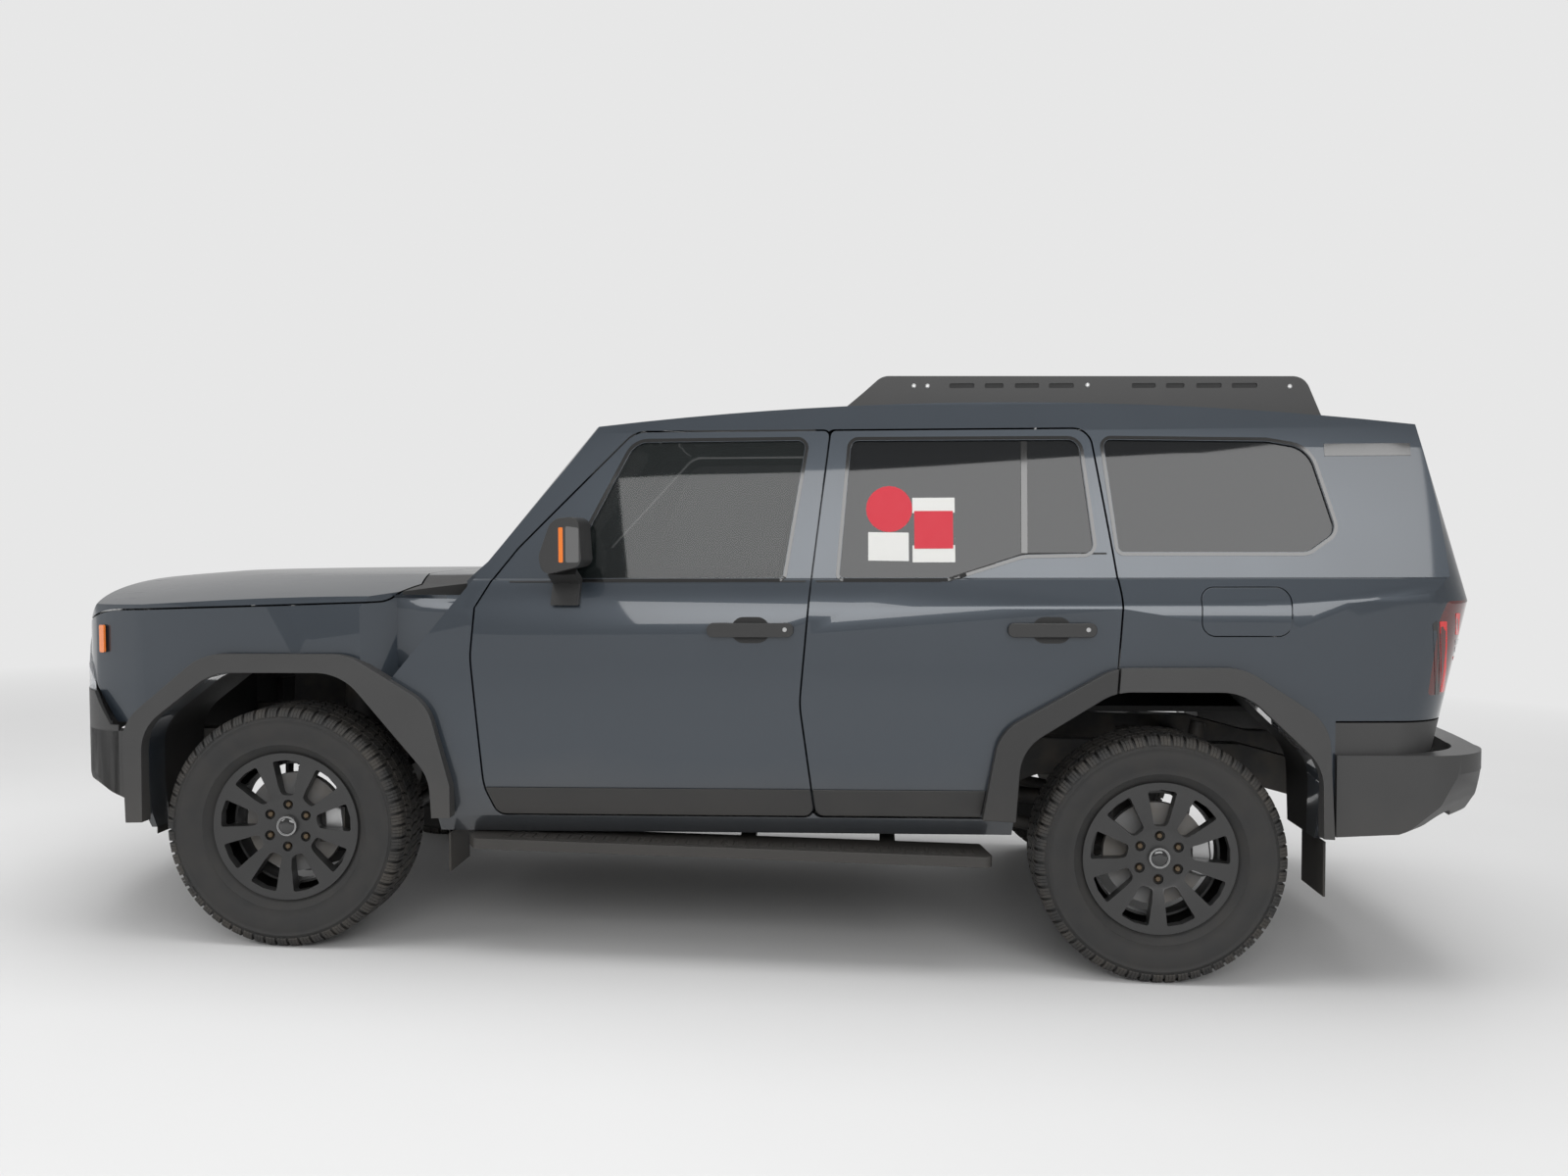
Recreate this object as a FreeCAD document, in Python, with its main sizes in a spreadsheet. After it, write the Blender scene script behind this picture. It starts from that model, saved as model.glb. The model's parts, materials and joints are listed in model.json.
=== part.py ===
import FreeCAD, Part
import Sketcher
import math
import os
import re

# Off-road estate car with a ladder frame, a steered front axle and five opening panels.
# Millimetres. X points forward, Y to the left, Z up. The origin is on the ground under the middle.

os.makedirs("parts", exist_ok=True)
Vector = FreeCAD.Vector
doc = FreeCAD.newDocument("OffRoader")

driving_sizes = {
    # whole vehicle
    "wheelbase": 2850,
    "front_overhang": 955,
    "rear_overhang": 1115,
    "track_width": 1664,
    "body_rake": 1.55,
    # body shell, in the raked body frame
    "body_half_width": 957,
    "belt_half_width": 908,
    "roof_half_width": 770,
    "crease_height": 1163,
    "belt_height": 1251,
    "door_top_height": 1737,
    "roof_height": 1862,
    "sill_bottom": 445,
    "door_bottom": 488,
    "roof_crown_length": 11600,
    "roof_crown_width": 9000,
    "hood_height": 1293,
    "hood_crown_length": 12900,
    "hood_crown_width": 4800,
    "nose_roll": 180,
    "corner_roll": 110,
    "corner_drop": 0,
    "corner_reach": 2030,
    "corner_angle": 52,
    "door_depth": 110,
    "pillar_depth": 62,
    "roof_depth": 42,
    "hood_depth": 36,
    "screen_depth": 58,
    "nose_depth": 60,
    "tail_depth": 88,
    "shut_gap": 6,
    "door_step": 14,
    "door_skin": 34,
    "seat_gap": 0.3,
    "post_depth": 40,
    "glass_inset": 9,
    "glass_thickness": 5,
    "screen_thickness": 7,
    "screen_plan_radius": 2600,
    # wheels and tyres
    "tyre_radius": 398,
    "tyre_width": 265,
    "tread_width": 196,
    "tyre_wall": 14,
    "bead_radius": 230.3,
    "bead_seat_radius": 230,
    "flange_radius": 246,
    "flange_half_width": 105,
    "barrel_radius": 206,
    "barrel_wall": 8,
    "mount_offset": 60,
    "spoke_face": 96,
    "spoke_depth": 28,
    "spoke_count": 9,
    "spoke_width": 38,
    "opening_inner_radius": 99,
    "opening_outer_radius": 214,
    "hub_radius": 84,
    "cap_radius": 40,
    "cap_height": 8,
    "nut_count": 6,
    "nut_circle": 139.7,
    "nut_radius": 11,
    "nut_height": 14,
    "spindle_radius": 30,
    "running_gap": 0.3,
    "disc_radius": 166,
    "disc_thickness": 28,
    "disc_plane": 8,
    # steering
    "kingpin_inset": 70,
    "ball_radius": 40,
    "pin_radius": 13,
    "upper_pin_height": 150,
    "lower_pin_height": 118,
    "steering_arm": 150,
    "lug_height": 30,
    # chassis
    "rail_outer": 430,
    "rail_width": 75,
    "rail_height": 130,
    "rail_bottom": 450,
    "kick_height": 118,
    "crossmember_depth": 50,
    "axle_tube_radius": 42,
    "differential_radius": 125,
    "shaft_radius": 30,
    "half_shaft_radius": 17,
    "spring_radius": 58,
    "floor_height": 632,
    "floor_thickness": 12,
    "load_floor_height": 800,
    "firewall_place": 905,
    "engine_length": 720,
    "engine_width": 560,
    "engine_height": 470,
    "gearbox_length": 900,
    "gearbox_radius": 105,
    "tank_length": 370,
    "tank_width": 270,
    "tank_height": 120,
    "pipe_radius": 30,
    "muffler_length": 520,
    # outer fittings
    "flare_reach": 990,
    "flare_depth": 62,
    "liner_thickness": 4,
    "step_reach": 1002,
    "step_width": 190,
    "step_top": 398,
    "step_thickness": 34,
    "flap_thickness": 8,
    "rack_rail_place": 610,
    "rack_rail_height": 78,
    "rack_rail_width": 38,
    "rack_lift": 22,
    "rack_bar_count": 6,
    "rack_bar_width": 52,
    "rack_bar_height": 24,
    "mirror_reach": 1085,
    "mirror_height": 185,
    "mirror_length": 138,
    "handle_length": 277,
    "handle_height": 45,
    "handle_reach": 26,
    "fuel_door_length": 281,
    "fuel_door_height": 157,
    "fuel_door_thickness": 5,
    "fuel_gap": 3,
    "filler_depth": 78,
    "spoiler_length": 210,
    # cabin
    "seat_width": 520,
    "seat_place": 380,
    "cushion_height": 180,
    "cushion_length": 540,
    "back_height": 640,
    "back_thickness": 150,
    "bench_width": 1320,
    "steering_wheel_radius": 188,
    "steering_rim_radius": 15,
}

sheet = doc.addObject("Spreadsheet::Sheet", "Sizes")
for row, (name, value) in enumerate(driving_sizes.items(), 1):
    sheet.set(f"A{row}", name)
    sheet.set(f"B{row}", str(value))
    sheet.setAlias(f"B{row}", name)
doc.recompute()


def size(name):
    return float(sheet.get(name))


# Places worked out from the driving sizes

half_length = (size("front_overhang") + size("wheelbase") + size("rear_overhang")) / 2
front_axle = half_length - size("front_overhang")
rear_axle = front_axle - size("wheelbase")
wheel_place = size("track_width") / 2
axle_height = size("tyre_radius")
rake = FreeCAD.Rotation(Vector(0, 1, 0), size("body_rake"))
raked = FreeCAD.Placement(Vector(0, 0, 0), rake)
level = FreeCAD.Placement()
front_arch = rake.inverted().multVec(Vector(front_axle, 0, axle_height))
rear_arch = rake.inverted().multVec(Vector(rear_axle, 0, axle_height))
nose = rake.inverted().multVec(Vector(half_length, 0, 600)).x
tail = rake.inverted().multVec(Vector(-half_length, 0, 600)).x
crease = size("crease_height")
belt = size("belt_height")
gap = size("shut_gap")
rail_mount = 470
engine_low = 610
gearbox_rest = 392
rack_place = front_axle - 165
arm_levels = (axle_height - size("lower_pin_height") - 64, axle_height + size("upper_pin_height") + 30)
strut_top = 940
pipe_level = 424
# the frame is built up from three lengths, which meet at these places
frame_breaks = (-690, 960)
seam = 0.3
tie_rod_drop = 76
steering_arm_reach = 110
sub_parts = []


# Outlines and simple solids made from them


def on_side(y):
    return lambda a, b: Vector(a, y, b)


def on_section(x):
    return lambda a, b: Vector(x, a, b)


def on_plan(z):
    return lambda a, b: Vector(a, b, z)


def outline(points, place):
    """Closed wire. A corner is (a, b) or (a, b, radius); ("via", a, b) bends the edge before it."""
    corners = []
    vias = {}
    for point in points:
        if point[0] == "via":
            vias[len(corners) - 1] = Vector(point[1], point[2], 0)
        else:
            corners.append(point)
    starts = []
    ends = []
    middles = []
    for index, corner in enumerate(corners):
        here = Vector(corner[0], corner[1], 0)
        middle = None
        start = end = here
        if len(corner) > 2:
            back = Vector(*corners[index - 1][:2], 0) - here
            ahead = Vector(*corners[(index + 1) % len(corners)][:2], 0) - here
            back.normalize()
            ahead.normalize()
            half = math.acos(max(-1, min(1, back.dot(ahead)))) / 2
            start = here + back * (corner[2] / math.tan(half))
            end = here + ahead * (corner[2] / math.tan(half))
            inward = (back + ahead).normalize()
            middle = here + inward * (corner[2] / math.sin(half) - corner[2])
        starts.append(start)
        ends.append(end)
        middles.append(middle)
    edges = []
    for index in range(len(corners)):
        if middles[index] is not None:
            arc = [place(p.x, p.y) for p in (starts[index], middles[index], ends[index])]
            edges.append(Part.Arc(*arc).toShape())
        first = ends[index]
        last = starts[(index + 1) % len(corners)]
        if index in vias:
            arc = [place(p.x, p.y) for p in (first, vias[index], last)]
            edges.append(Part.Arc(*arc).toShape())
        elif (last - first).Length > 1e-6:
            edges.append(Part.makeLine(place(first.x, first.y), place(last.x, last.y)))
    return Part.Wire(edges)


def grown(points, place, margin):
    face = Part.Face(outline(points, place))
    if margin:
        face = face.makeOffset2D(margin, 2)
    return face


def side_prism(points, y_low, y_high, margin=0):
    return grown(points, on_side(y_low), margin).extrude(Vector(0, y_high - y_low, 0))


def section_prism(points, x_low, x_high, margin=0):
    return grown(points, on_section(x_low), margin).extrude(Vector(x_high - x_low, 0, 0))


def plan_prism(points, z_low, z_high, margin=0):
    return grown(points, on_plan(z_low), margin).extrude(Vector(0, 0, z_high - z_low))


def box(x_low, x_high, y_low, y_high, z_low, z_high):
    corner = Vector(x_low, y_low, z_low)
    return Part.makeBox(x_high - x_low, y_high - y_low, z_high - z_low, corner)


def rod(start, end, radius):
    start = Vector(*start)
    end = Vector(*end)
    return Part.makeCylinder(radius, (end - start).Length, start, end - start)


def mirrored(shape):
    return shape.mirror(Vector(0, 0, 0), Vector(0, 1, 0))


def both(shape):
    return Part.makeCompound([shape, mirrored(shape)])


def joined(shapes):
    result = shapes[0].multiFuse(shapes[1:]) if len(shapes) > 1 else shapes[0]
    return result.removeSplitter()


def main_solids(shape, least=2000):
    """The solids of a cut, without slivers below the least volume in cubic millimetres."""
    kept = [solid for solid in shape.Solids if solid.Volume > least]
    return kept[0] if len(kept) == 1 else Part.makeCompound(kept)


def add_shape(label, shape, placement=raked):
    feature = doc.addObject("Part::Feature", label)
    feature.Label = label
    feature.Shape = shape
    feature.Placement = placement
    sub_parts.append(feature)
    return feature


# Sketch-based bodies, whose measures are expressions on the sheet


def formula(text):
    """The same formula with each of the sheet's names written as FreeCAD wants it."""
    return re.sub(r"[a-z]\w+", lambda word: ("Sizes." if word[0] in driving_sizes else "") + word[0], text)


def add_body(label, placement):
    body = doc.addObject("PartDesign::Body", label)
    body.Label = label
    body.Placement = placement
    sub_parts.append(body)
    return body


def add_sketch(body, role, loops, offset="0"):
    """Closed loops of (across, up) corners, each measure a formula on the sheet's names."""
    sketch = body.newObject("Sketcher::SketchObject", "Sketch")
    plane = [item for item in body.Origin.OriginFeatures if item.Role == role][0]
    sketch.AttachmentSupport = [(plane, "")]
    sketch.MapMode = "FlatFace"
    sketch.setExpression(".AttachmentOffset.Base.z", formula(offset))
    for loop in loops:
        first = sketch.GeometryCount
        corners = [[float(sheet.evalExpression(text)) for text in corner] for corner in loop]
        for index, corner in enumerate(corners):
            following = corners[(index + 1) % len(corners)]
            line = Part.LineSegment(Vector(*corner, 0), Vector(*following, 0))
            sketch.addGeometry(line, False)
        for index, corner in enumerate(loop):
            line = first + index
            following = first + (index + 1) % len(loop)
            sketch.addConstraint(Sketcher.Constraint("Coincident", line, 2, following, 1))
            for kind, text, value in zip(("DistanceX", "DistanceY"), corner, corners[index]):
                datum = Sketcher.Constraint(kind, -1, 1, line, 1, value)
                number = sketch.addConstraint(datum)
                sketch.setExpression(f"Constraints[{number}]", formula(text))
    return sketch


def add_circles(body, role, circles, offset="0"):
    """Circles of (across, up, radius), each measure a formula on the sheet's names."""
    sketch = add_sketch(body, role, [], offset)
    for circle in circles:
        across, up, radius = [float(sheet.evalExpression(text)) for text in circle]
        index = sketch.addGeometry(Part.Circle(Vector(across, up, 0), Vector(0, 0, 1), radius), False)
        for kind, value, text in (("DistanceX", across, circle[0]), ("DistanceY", up, circle[1])):
            number = sketch.addConstraint(Sketcher.Constraint(kind, -1, 1, index, 3, value))
            sketch.setExpression(f"Constraints[{number}]", formula(text))
        number = sketch.addConstraint(Sketcher.Constraint("Radius", index, radius))
        sketch.setExpression(f"Constraints[{number}]", formula(circle[2]))
    return sketch


def extrude(body, kind, sketch, length, reverse=False, middle=False):
    feature = body.newObject("PartDesign::" + kind, kind)
    feature.Profile = sketch
    feature.setExpression("Length", formula(length))
    feature.Reversed = reverse
    feature.Midplane = middle
    return feature


def turn(body, kind, sketch):
    feature = body.newObject("PartDesign::" + kind, kind)
    feature.Profile = sketch
    feature.ReferenceAxis = (sketch, ["V_Axis"])
    feature.Angle = 360
    return feature


def repeat_round(body, features, sketch, count):
    pattern = body.newObject("PartDesign::PolarPattern", "Pattern")
    pattern.Originals = features
    pattern.Axis = (sketch, ["N_Axis"])
    pattern.Angle = 360
    pattern.setExpression("Occurrences", formula(count))
    body.Tip = pattern
    return pattern


def corner_places():
    for end, x in (("front", front_axle), ("rear", rear_axle)):
        for side, sign in (("left", 1), ("right", -1)):
            turned = FreeCAD.Rotation(Vector(0, 0, 1), 0 if sign > 0 else 180)
            place = FreeCAD.Placement(Vector(x, sign * wheel_place, axle_height), turned)
            yield f"{end}_{side}", place


def build_tyre(name, place):
    """Section in the plane of the axle: across is the radius, up is outwards along the axle."""
    body = add_body(f"tyre_{name}", place)
    outer = [
        ("bead_radius", "flange_half_width - 12"),
        ("flange_radius + 1", "flange_half_width - 9"),
        ("bead_radius + 24", "flange_half_width + 7"),
        ("bead_radius + 70", "tyre_width / 2 - 2"),
        ("bead_radius + 92", "tyre_width / 2"),
        ("tyre_radius - 44", "tyre_width / 2 - 3"),
        ("tyre_radius - 14", "tread_width / 2 + 22"),
        ("tyre_radius", "tread_width / 2"),
    ]
    inner = [
        ("tyre_radius - tyre_wall", "tread_width / 2 - 12"),
        ("tyre_radius - 44", "tyre_width / 2 - 3 - tyre_wall"),
        ("bead_radius + 92", "tyre_width / 2 - tyre_wall"),
        ("bead_radius + 22", "flange_half_width + 7 - tyre_wall"),
        ("bead_radius", "flange_half_width - 26"),
    ]
    half = outer + inner
    other = [(across, f"-({up})") for across, up in half]
    inner_start = len(outer)
    loop = outer + list(reversed(other[:inner_start])) + list(reversed(other[inner_start:])) + inner
    sketch = add_sketch(body, "XY_Plane", [loop])
    turn(body, "Revolution", sketch)


def build_rim(name, place):
    body = add_body(f"wheel_{name}", place)
    barrel = [
        ("flange_radius", "flange_half_width"),
        ("flange_radius", "flange_half_width - 6"),
        ("bead_seat_radius", "flange_half_width - 9"),
        ("bead_seat_radius", "flange_half_width - 30"),
        ("barrel_radius", "flange_half_width - 52"),
        ("barrel_radius", "-20"),
        ("bead_seat_radius", "30 - flange_half_width"),
        ("bead_seat_radius", "9 - flange_half_width"),
        ("flange_radius", "6 - flange_half_width"),
        ("flange_radius", "-flange_half_width"),
        ("bead_seat_radius - barrel_wall", "-flange_half_width"),
        ("bead_seat_radius - barrel_wall", "32 - flange_half_width"),
        ("barrel_radius - barrel_wall", "-20"),
        ("barrel_radius - barrel_wall", "spoke_face - spoke_depth"),
        ("hub_radius", "spoke_face - spoke_depth"),
        ("hub_radius", "disc_plane + disc_thickness / 2"),
        ("disc_radius", "disc_plane + disc_thickness / 2"),
        ("disc_radius", "disc_plane - disc_thickness / 2"),
        ("hub_radius - 8", "disc_plane - disc_thickness / 2"),
        ("hub_radius - 8", "mount_offset - 4"),
        ("spindle_radius + running_gap", "mount_offset - 4"),
        ("spindle_radius + running_gap", "spoke_face - 6"),
        ("0", "spoke_face - 6"),
        ("0", "spoke_face + cap_height"),
        ("cap_radius - 4", "spoke_face + cap_height"),
        ("cap_radius", "spoke_face + cap_height - 4"),
        ("cap_radius", "spoke_face"),
        ("hub_radius", "spoke_face"),
        ("opening_outer_radius", "spoke_face - 4"),
        ("bead_seat_radius - barrel_wall", "flange_half_width - 2"),
        ("flange_radius - 4", "flange_half_width"),
    ]
    turn(body, "Revolution", add_sketch(body, "XY_Plane", [barrel]))
    pitch = "180 / spoke_count"
    inner_half = f"opening_inner_radius * tan({pitch}) - spoke_width / 2"
    outer_half = f"opening_outer_radius * tan({pitch}) - spoke_width / 2"
    opening = [
        (f"-({inner_half})", "opening_inner_radius"),
        (inner_half, "opening_inner_radius"),
        (outer_half, "opening_outer_radius - 14"),
        (f"({outer_half}) * 0.6", "opening_outer_radius"),
        (f"-({outer_half}) * 0.6", "opening_outer_radius"),
        (f"-({outer_half})", "opening_outer_radius - 14"),
    ]
    window = add_sketch(body, "XZ_Plane", [opening], "-(spoke_face + 20)")
    window_cut = extrude(body, "Pocket", window, "spoke_depth + 26", reverse=True)
    doc.recompute()
    repeat_round(body, [window_cut], window, "spoke_count")
    nut = add_circles(body, "XZ_Plane", [("0", "nut_circle / 2", "nut_radius")], "2 - spoke_face")
    nut_pad = extrude(body, "Pad", nut, "nut_height", reverse=True)
    doc.recompute()
    repeat_round(body, [nut_pad], nut, "nut_count")


def build_wheels():
    for name, place in corner_places():
        build_tyre(name, place)
        build_rim(name, place)



# Body shell: one outer and one inner form, whose difference is the thickness of every panel


def half_section(levels, far=1500):
    """Solid of the left half: a section of (y, z) levels run straight along the car."""
    profile = [(-far, levels[0][1])] + levels + [(-far, levels[-1][1])]
    return section_prism(profile, -2800, 2800)


def outer_levels(inset=0):
    wide = size("body_half_width") - inset
    belt_wide = size("belt_half_width") - inset
    top_wide = size("roof_half_width") - inset
    top = size("door_top_height")
    return [
        (wide - 62, size("sill_bottom") - 20),
        (wide - 32, size("door_bottom") - 8),
        (wide - 14, size("door_bottom") + 89),
        ("via", wide - 2, crease - 293),
        (wide, crease),
        (belt_wide, belt),
        (belt_wide - 11, belt + 5),
        ("via", belt_wide - 58, belt + 249),
        (top_wide + 25, top),
        (top_wide - 5, top + 78),
        (top_wide - 50, top + 263),
    ]


def inner_levels(extra=0):
    low = size("body_half_width") - size("door_depth") - extra
    high = size("roof_half_width") - size("pillar_depth") - extra
    top = size("door_top_height")
    return [
        (low - 50, 150),
        (low - 26, size("door_bottom") - 8),
        (low - 10, size("door_bottom") + 89),
        (low, crease - 60),
        (low - 12, belt),
        ("via", high + 84, belt + 249),
        (high + 25, top - 20),
        (high - 15, top + 60),
        (high - 60, top + 263),
    ]


def crowned(apex_x, apex_z, long_radius, wide_radius, x_low, x_high):
    """Solid below a surface that is crowned both ways, with its apex at y = 0."""
    reach = 1200
    edge = apex_z - wide_radius + math.sqrt(wide_radius**2 - reach**2)
    section = [(-reach, 150), (-reach, edge), ("via", 0, apex_z), (reach, edge), (reach, 150)]
    face = Part.Face(outline(section, on_section(apex_x)))
    centre = Vector(apex_x, 0, apex_z - long_radius)
    back = math.degrees((apex_x - x_low) / long_radius)
    ahead = math.degrees((x_high - apex_x) / long_radius)
    face.rotate(centre, Vector(0, 1, 0), -back)
    return face.revolve(centre, Vector(0, 1, 0), back + ahead)


def screen_line(y, z):
    """The x of the windscreen's outer face at the middle of the car for a height."""
    return screen_base - screen_slope * (z - belt)


screen_base = front_arch.x - 478
screen_slope = 0.847


def behind_screen(inset):
    """Solid behind the windscreen's face, which is an arc in plan and leans back."""
    z_low = 100
    z_high = 2050
    radius = size("screen_plan_radius")
    wide = 820
    sag = radius - math.sqrt(radius**2 - wide**2)
    x = screen_line(0, z_low) - inset
    points = [
        (-4000, -1100),
        (x - sag - 60, -1100),
        (x - sag, -wide),
        ("via", x, 0),
        (x - sag, wide),
        (x - sag - 60, 1100),
        (-4000, 1100),
    ]
    lean = -screen_slope * (z_high - z_low)
    return grown(points, on_plan(z_low), 0).extrude(Vector(lean, 0, z_high - z_low))


def nose_outline(inset):
    face = nose - 58 - inset
    wide = size("body_half_width") + 3 - inset
    half = [
        (face - 1150, wide + 140),
        (face - 1150, wide),
        ("via", face - 750, wide - 8),
        (face - 355, wide - 22),
        ("via", face - 245, wide - 72),
        (face - 177, wide - 140),
        ("via", face, 0),
    ]
    other = [
        (face - 177, 140 - wide),
        ("via", face - 245, 72 - wide),
        (face - 355, 22 - wide),
        ("via", face - 750, 8 - wide),
        (face - 1150, -wide),
    ]
    return [(-4000, wide + 140)] + half + other + [(face - 1150, -wide - 140), (-4000, -wide - 140)]


def rolled(reach, top, roll):
    """Profile of a block that ends at a reach, with its top edge rolled over."""
    turn_in = roll * (1 - math.sqrt(0.5))
    return [
        (0, 100),
        (reach, 100),
        (reach, top - roll),
        ("via", reach - turn_in, top - turn_in),
        (reach - roll, top),
        (0, top),
    ]


def behind_nose(inset, top_inset):
    """Solid behind the nose, whose top edge rolls over into the hood."""
    face = nose - 58 - inset
    half_chord = size("body_half_width") - 137 - inset
    radius = (half_chord**2 + 177**2) / (2 * 177)
    top = size("hood_height") - 30 - top_inset
    roll = size("nose_roll") - top_inset
    axis = Vector(face - radius, 0, 0)
    section = Part.Face(outline(rolled(radius, top, roll), on_side(0)))
    section.translate(axis)
    section.rotate(axis, Vector(0, 0, 1), -80)
    block = section.revolve(axis, Vector(0, 0, 1), 160)
    block = block.common(plan_prism(nose_outline(inset), 90, 1400))
    corner_top = top - size("corner_drop")
    corner_roll = size("corner_roll") - top_inset
    for side in (1, -1):
        reach = size("corner_reach") - inset
        limit = side_prism(rolled(reach, corner_top + 0, corner_roll), -2600, 2600)
        limit.rotate(Vector(0, 0, 0), Vector(0, 0, 1), side * size("corner_angle"))
        block = block.common(limit)
    return block


def tail_outline(inset, face):
    wide = size("body_half_width") + 3 - inset
    half = [
        (face + 1000, wide + 140),
        (face + 1000, wide),
        ("via", face + 640, wide - 8),
        (face + 245, wide - 26),
        ("via", face + 100, wide - 110),
        (face + 64, wide - 200),
        ("via", face, 0),
    ]
    other = [
        (face + 64, 200 - wide),
        ("via", face + 100, 110 - wide),
        (face + 245, 26 - wide),
        ("via", face + 640, 8 - wide),
        (face + 1000, -wide),
    ]
    return [(4000, wide + 140)] + half + other + [(face + 1000, -wide - 140), (4000, -wide - 140)]


def ahead_of_tail(inset):
    points = tail_outline(inset, tail + 50 + inset)
    level_z = crease + 14
    upper = grown(points, on_plan(level_z), 0).extrude(Vector(264, 0, 873))
    lower = grown(points, on_plan(level_z), 0).extrude(Vector(228, 0, -1020))
    return upper.fuse(lower)


def body_form(levels, roof_inset, hood_inset, screen_inset, nose_inset, tail_inset):
    half = half_section(levels)
    form = half.common(mirrored(half))
    form = form.common(ahead_of_tail(tail_inset))
    crown_length = size("roof_crown_length")
    roof = crowned(-800, size("roof_height") - roof_inset, crown_length, size("roof_crown_width"), -2600, 2400)
    roof = roof.common(behind_screen(screen_inset))
    hood_top = size("hood_height") - hood_inset
    hood_apex = front_arch.x - 339
    crown = size("hood_crown_width")
    hood = crowned(hood_apex, hood_top, size("hood_crown_length"), crown, hood_apex - 900, hood_apex + 1500)
    hood = hood.common(box(300, 2700, -1200, 1200, 90, 2000)).common(behind_nose(nose_inset, hood_inset))
    roof = roof.common(box(-2700, front_arch.x + 40, -1200, 1200, 90, 2000))
    return form.common(roof.fuse(hood))


# Outlines of the openings, seen from the side, in the raked body frame


def front_edge_line():
    """Front edge of the front door, from its lower corner up to the windscreen post."""
    return [
        (780, size("door_bottom"), 40),
        (822, size("door_bottom") + 92, 200),
        (859, crease - 159, 300),
        (842, crease),
        (797, belt, 60),
        (715, 1354),
    ]


def front_door_outline():
    top = size("door_top_height")
    return front_edge_line() + [
        (341, top, 90),
        (-303, top, 18),
        (-242, belt),
        (-205, crease - 310, 300),
        (-254, size("door_bottom"), 30),
    ]


def rear_door_outline():
    top = size("door_top_height")
    return [
        (-254, size("door_bottom"), 30),
        (-205, crease - 310, 300),
        (-242, belt),
        (-303, top, 18),
        (-1144, top, 60),
        (-1208, belt + 79),
        (-1229, crease + 26, 300),
        (rear_arch.x + 147, rear_arch.z + 538),
        (rear_arch.x + 444, rear_arch.z + 356, 150),
        (rear_arch.x + 506, size("door_bottom"), 20),
    ]


def front_window_outline():
    return [(566, belt + 6, 14), (340, 1703, 70), (-226, 1706, 25), (-152, belt + 6, 12)]


def rear_window_outline():
    return [
        (-336, belt + 6, 12),
        (-375, 1704, 25),
        (-1110, 1702, 40),
        (-1150, 1334, 30),
        (-925, 1330, 120),
        (-690, belt + 6, 90),
    ]


def quarter_window_outline():
    return [(-1190, 1702, 22), (-1230, 1338, 18), (-1820, 1336, 60), (-1912, 1400, 45), (-1840, 1668, 90), (-1709, 1692)]


def wheel_opening_outline(arch, low=420):
    """The arch that the wheel turns in, with its wide flat top."""
    x = arch.x
    z = arch.z
    return [
        (x - 535, z - low),
        (x - 500, z + 180, 150),
        (x - 215, z + 515, 180),
        (x + 215, z + 515, 180),
        (x + 455, z + 330, 150),
        (x + 462, z - low),
    ]


def rear_opening_outline(arch, low=420):
    x = arch.x
    z = arch.z
    return [
        (x - 500, z - low),
        (x - 487, z + 306, 150),
        (x - 245, z + 538, 180),
        (x + 152, z + 538, 180),
        (x + 444, z + 356, 150),
        (x + 502, z - low),
    ]


def hood_line():
    """Shut line between hood and fender, seen from the side, from the cowl to the nose."""
    return [
        (front_arch.x - 447, belt + 3),
        (front_arch.x - 392, crease + 64, 60),
        (front_arch.x - 340, crease + 22, 60),
        (nose - 330, crease - 6, 300),
        (nose - 150, crease - 78),
        (nose + 60, crease - 112),
    ]


def hood_plan(margin=0):
    """Plan of the hood: its rear edge is an arc ahead of the cowl."""
    x = front_arch.x - 447 + margin
    return [(x, -1000), (x, -900), ("via", x + 130, 0), (x, 900), (x, 1000), (nose + 200, 1000), (nose + 200, -1000)]


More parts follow.
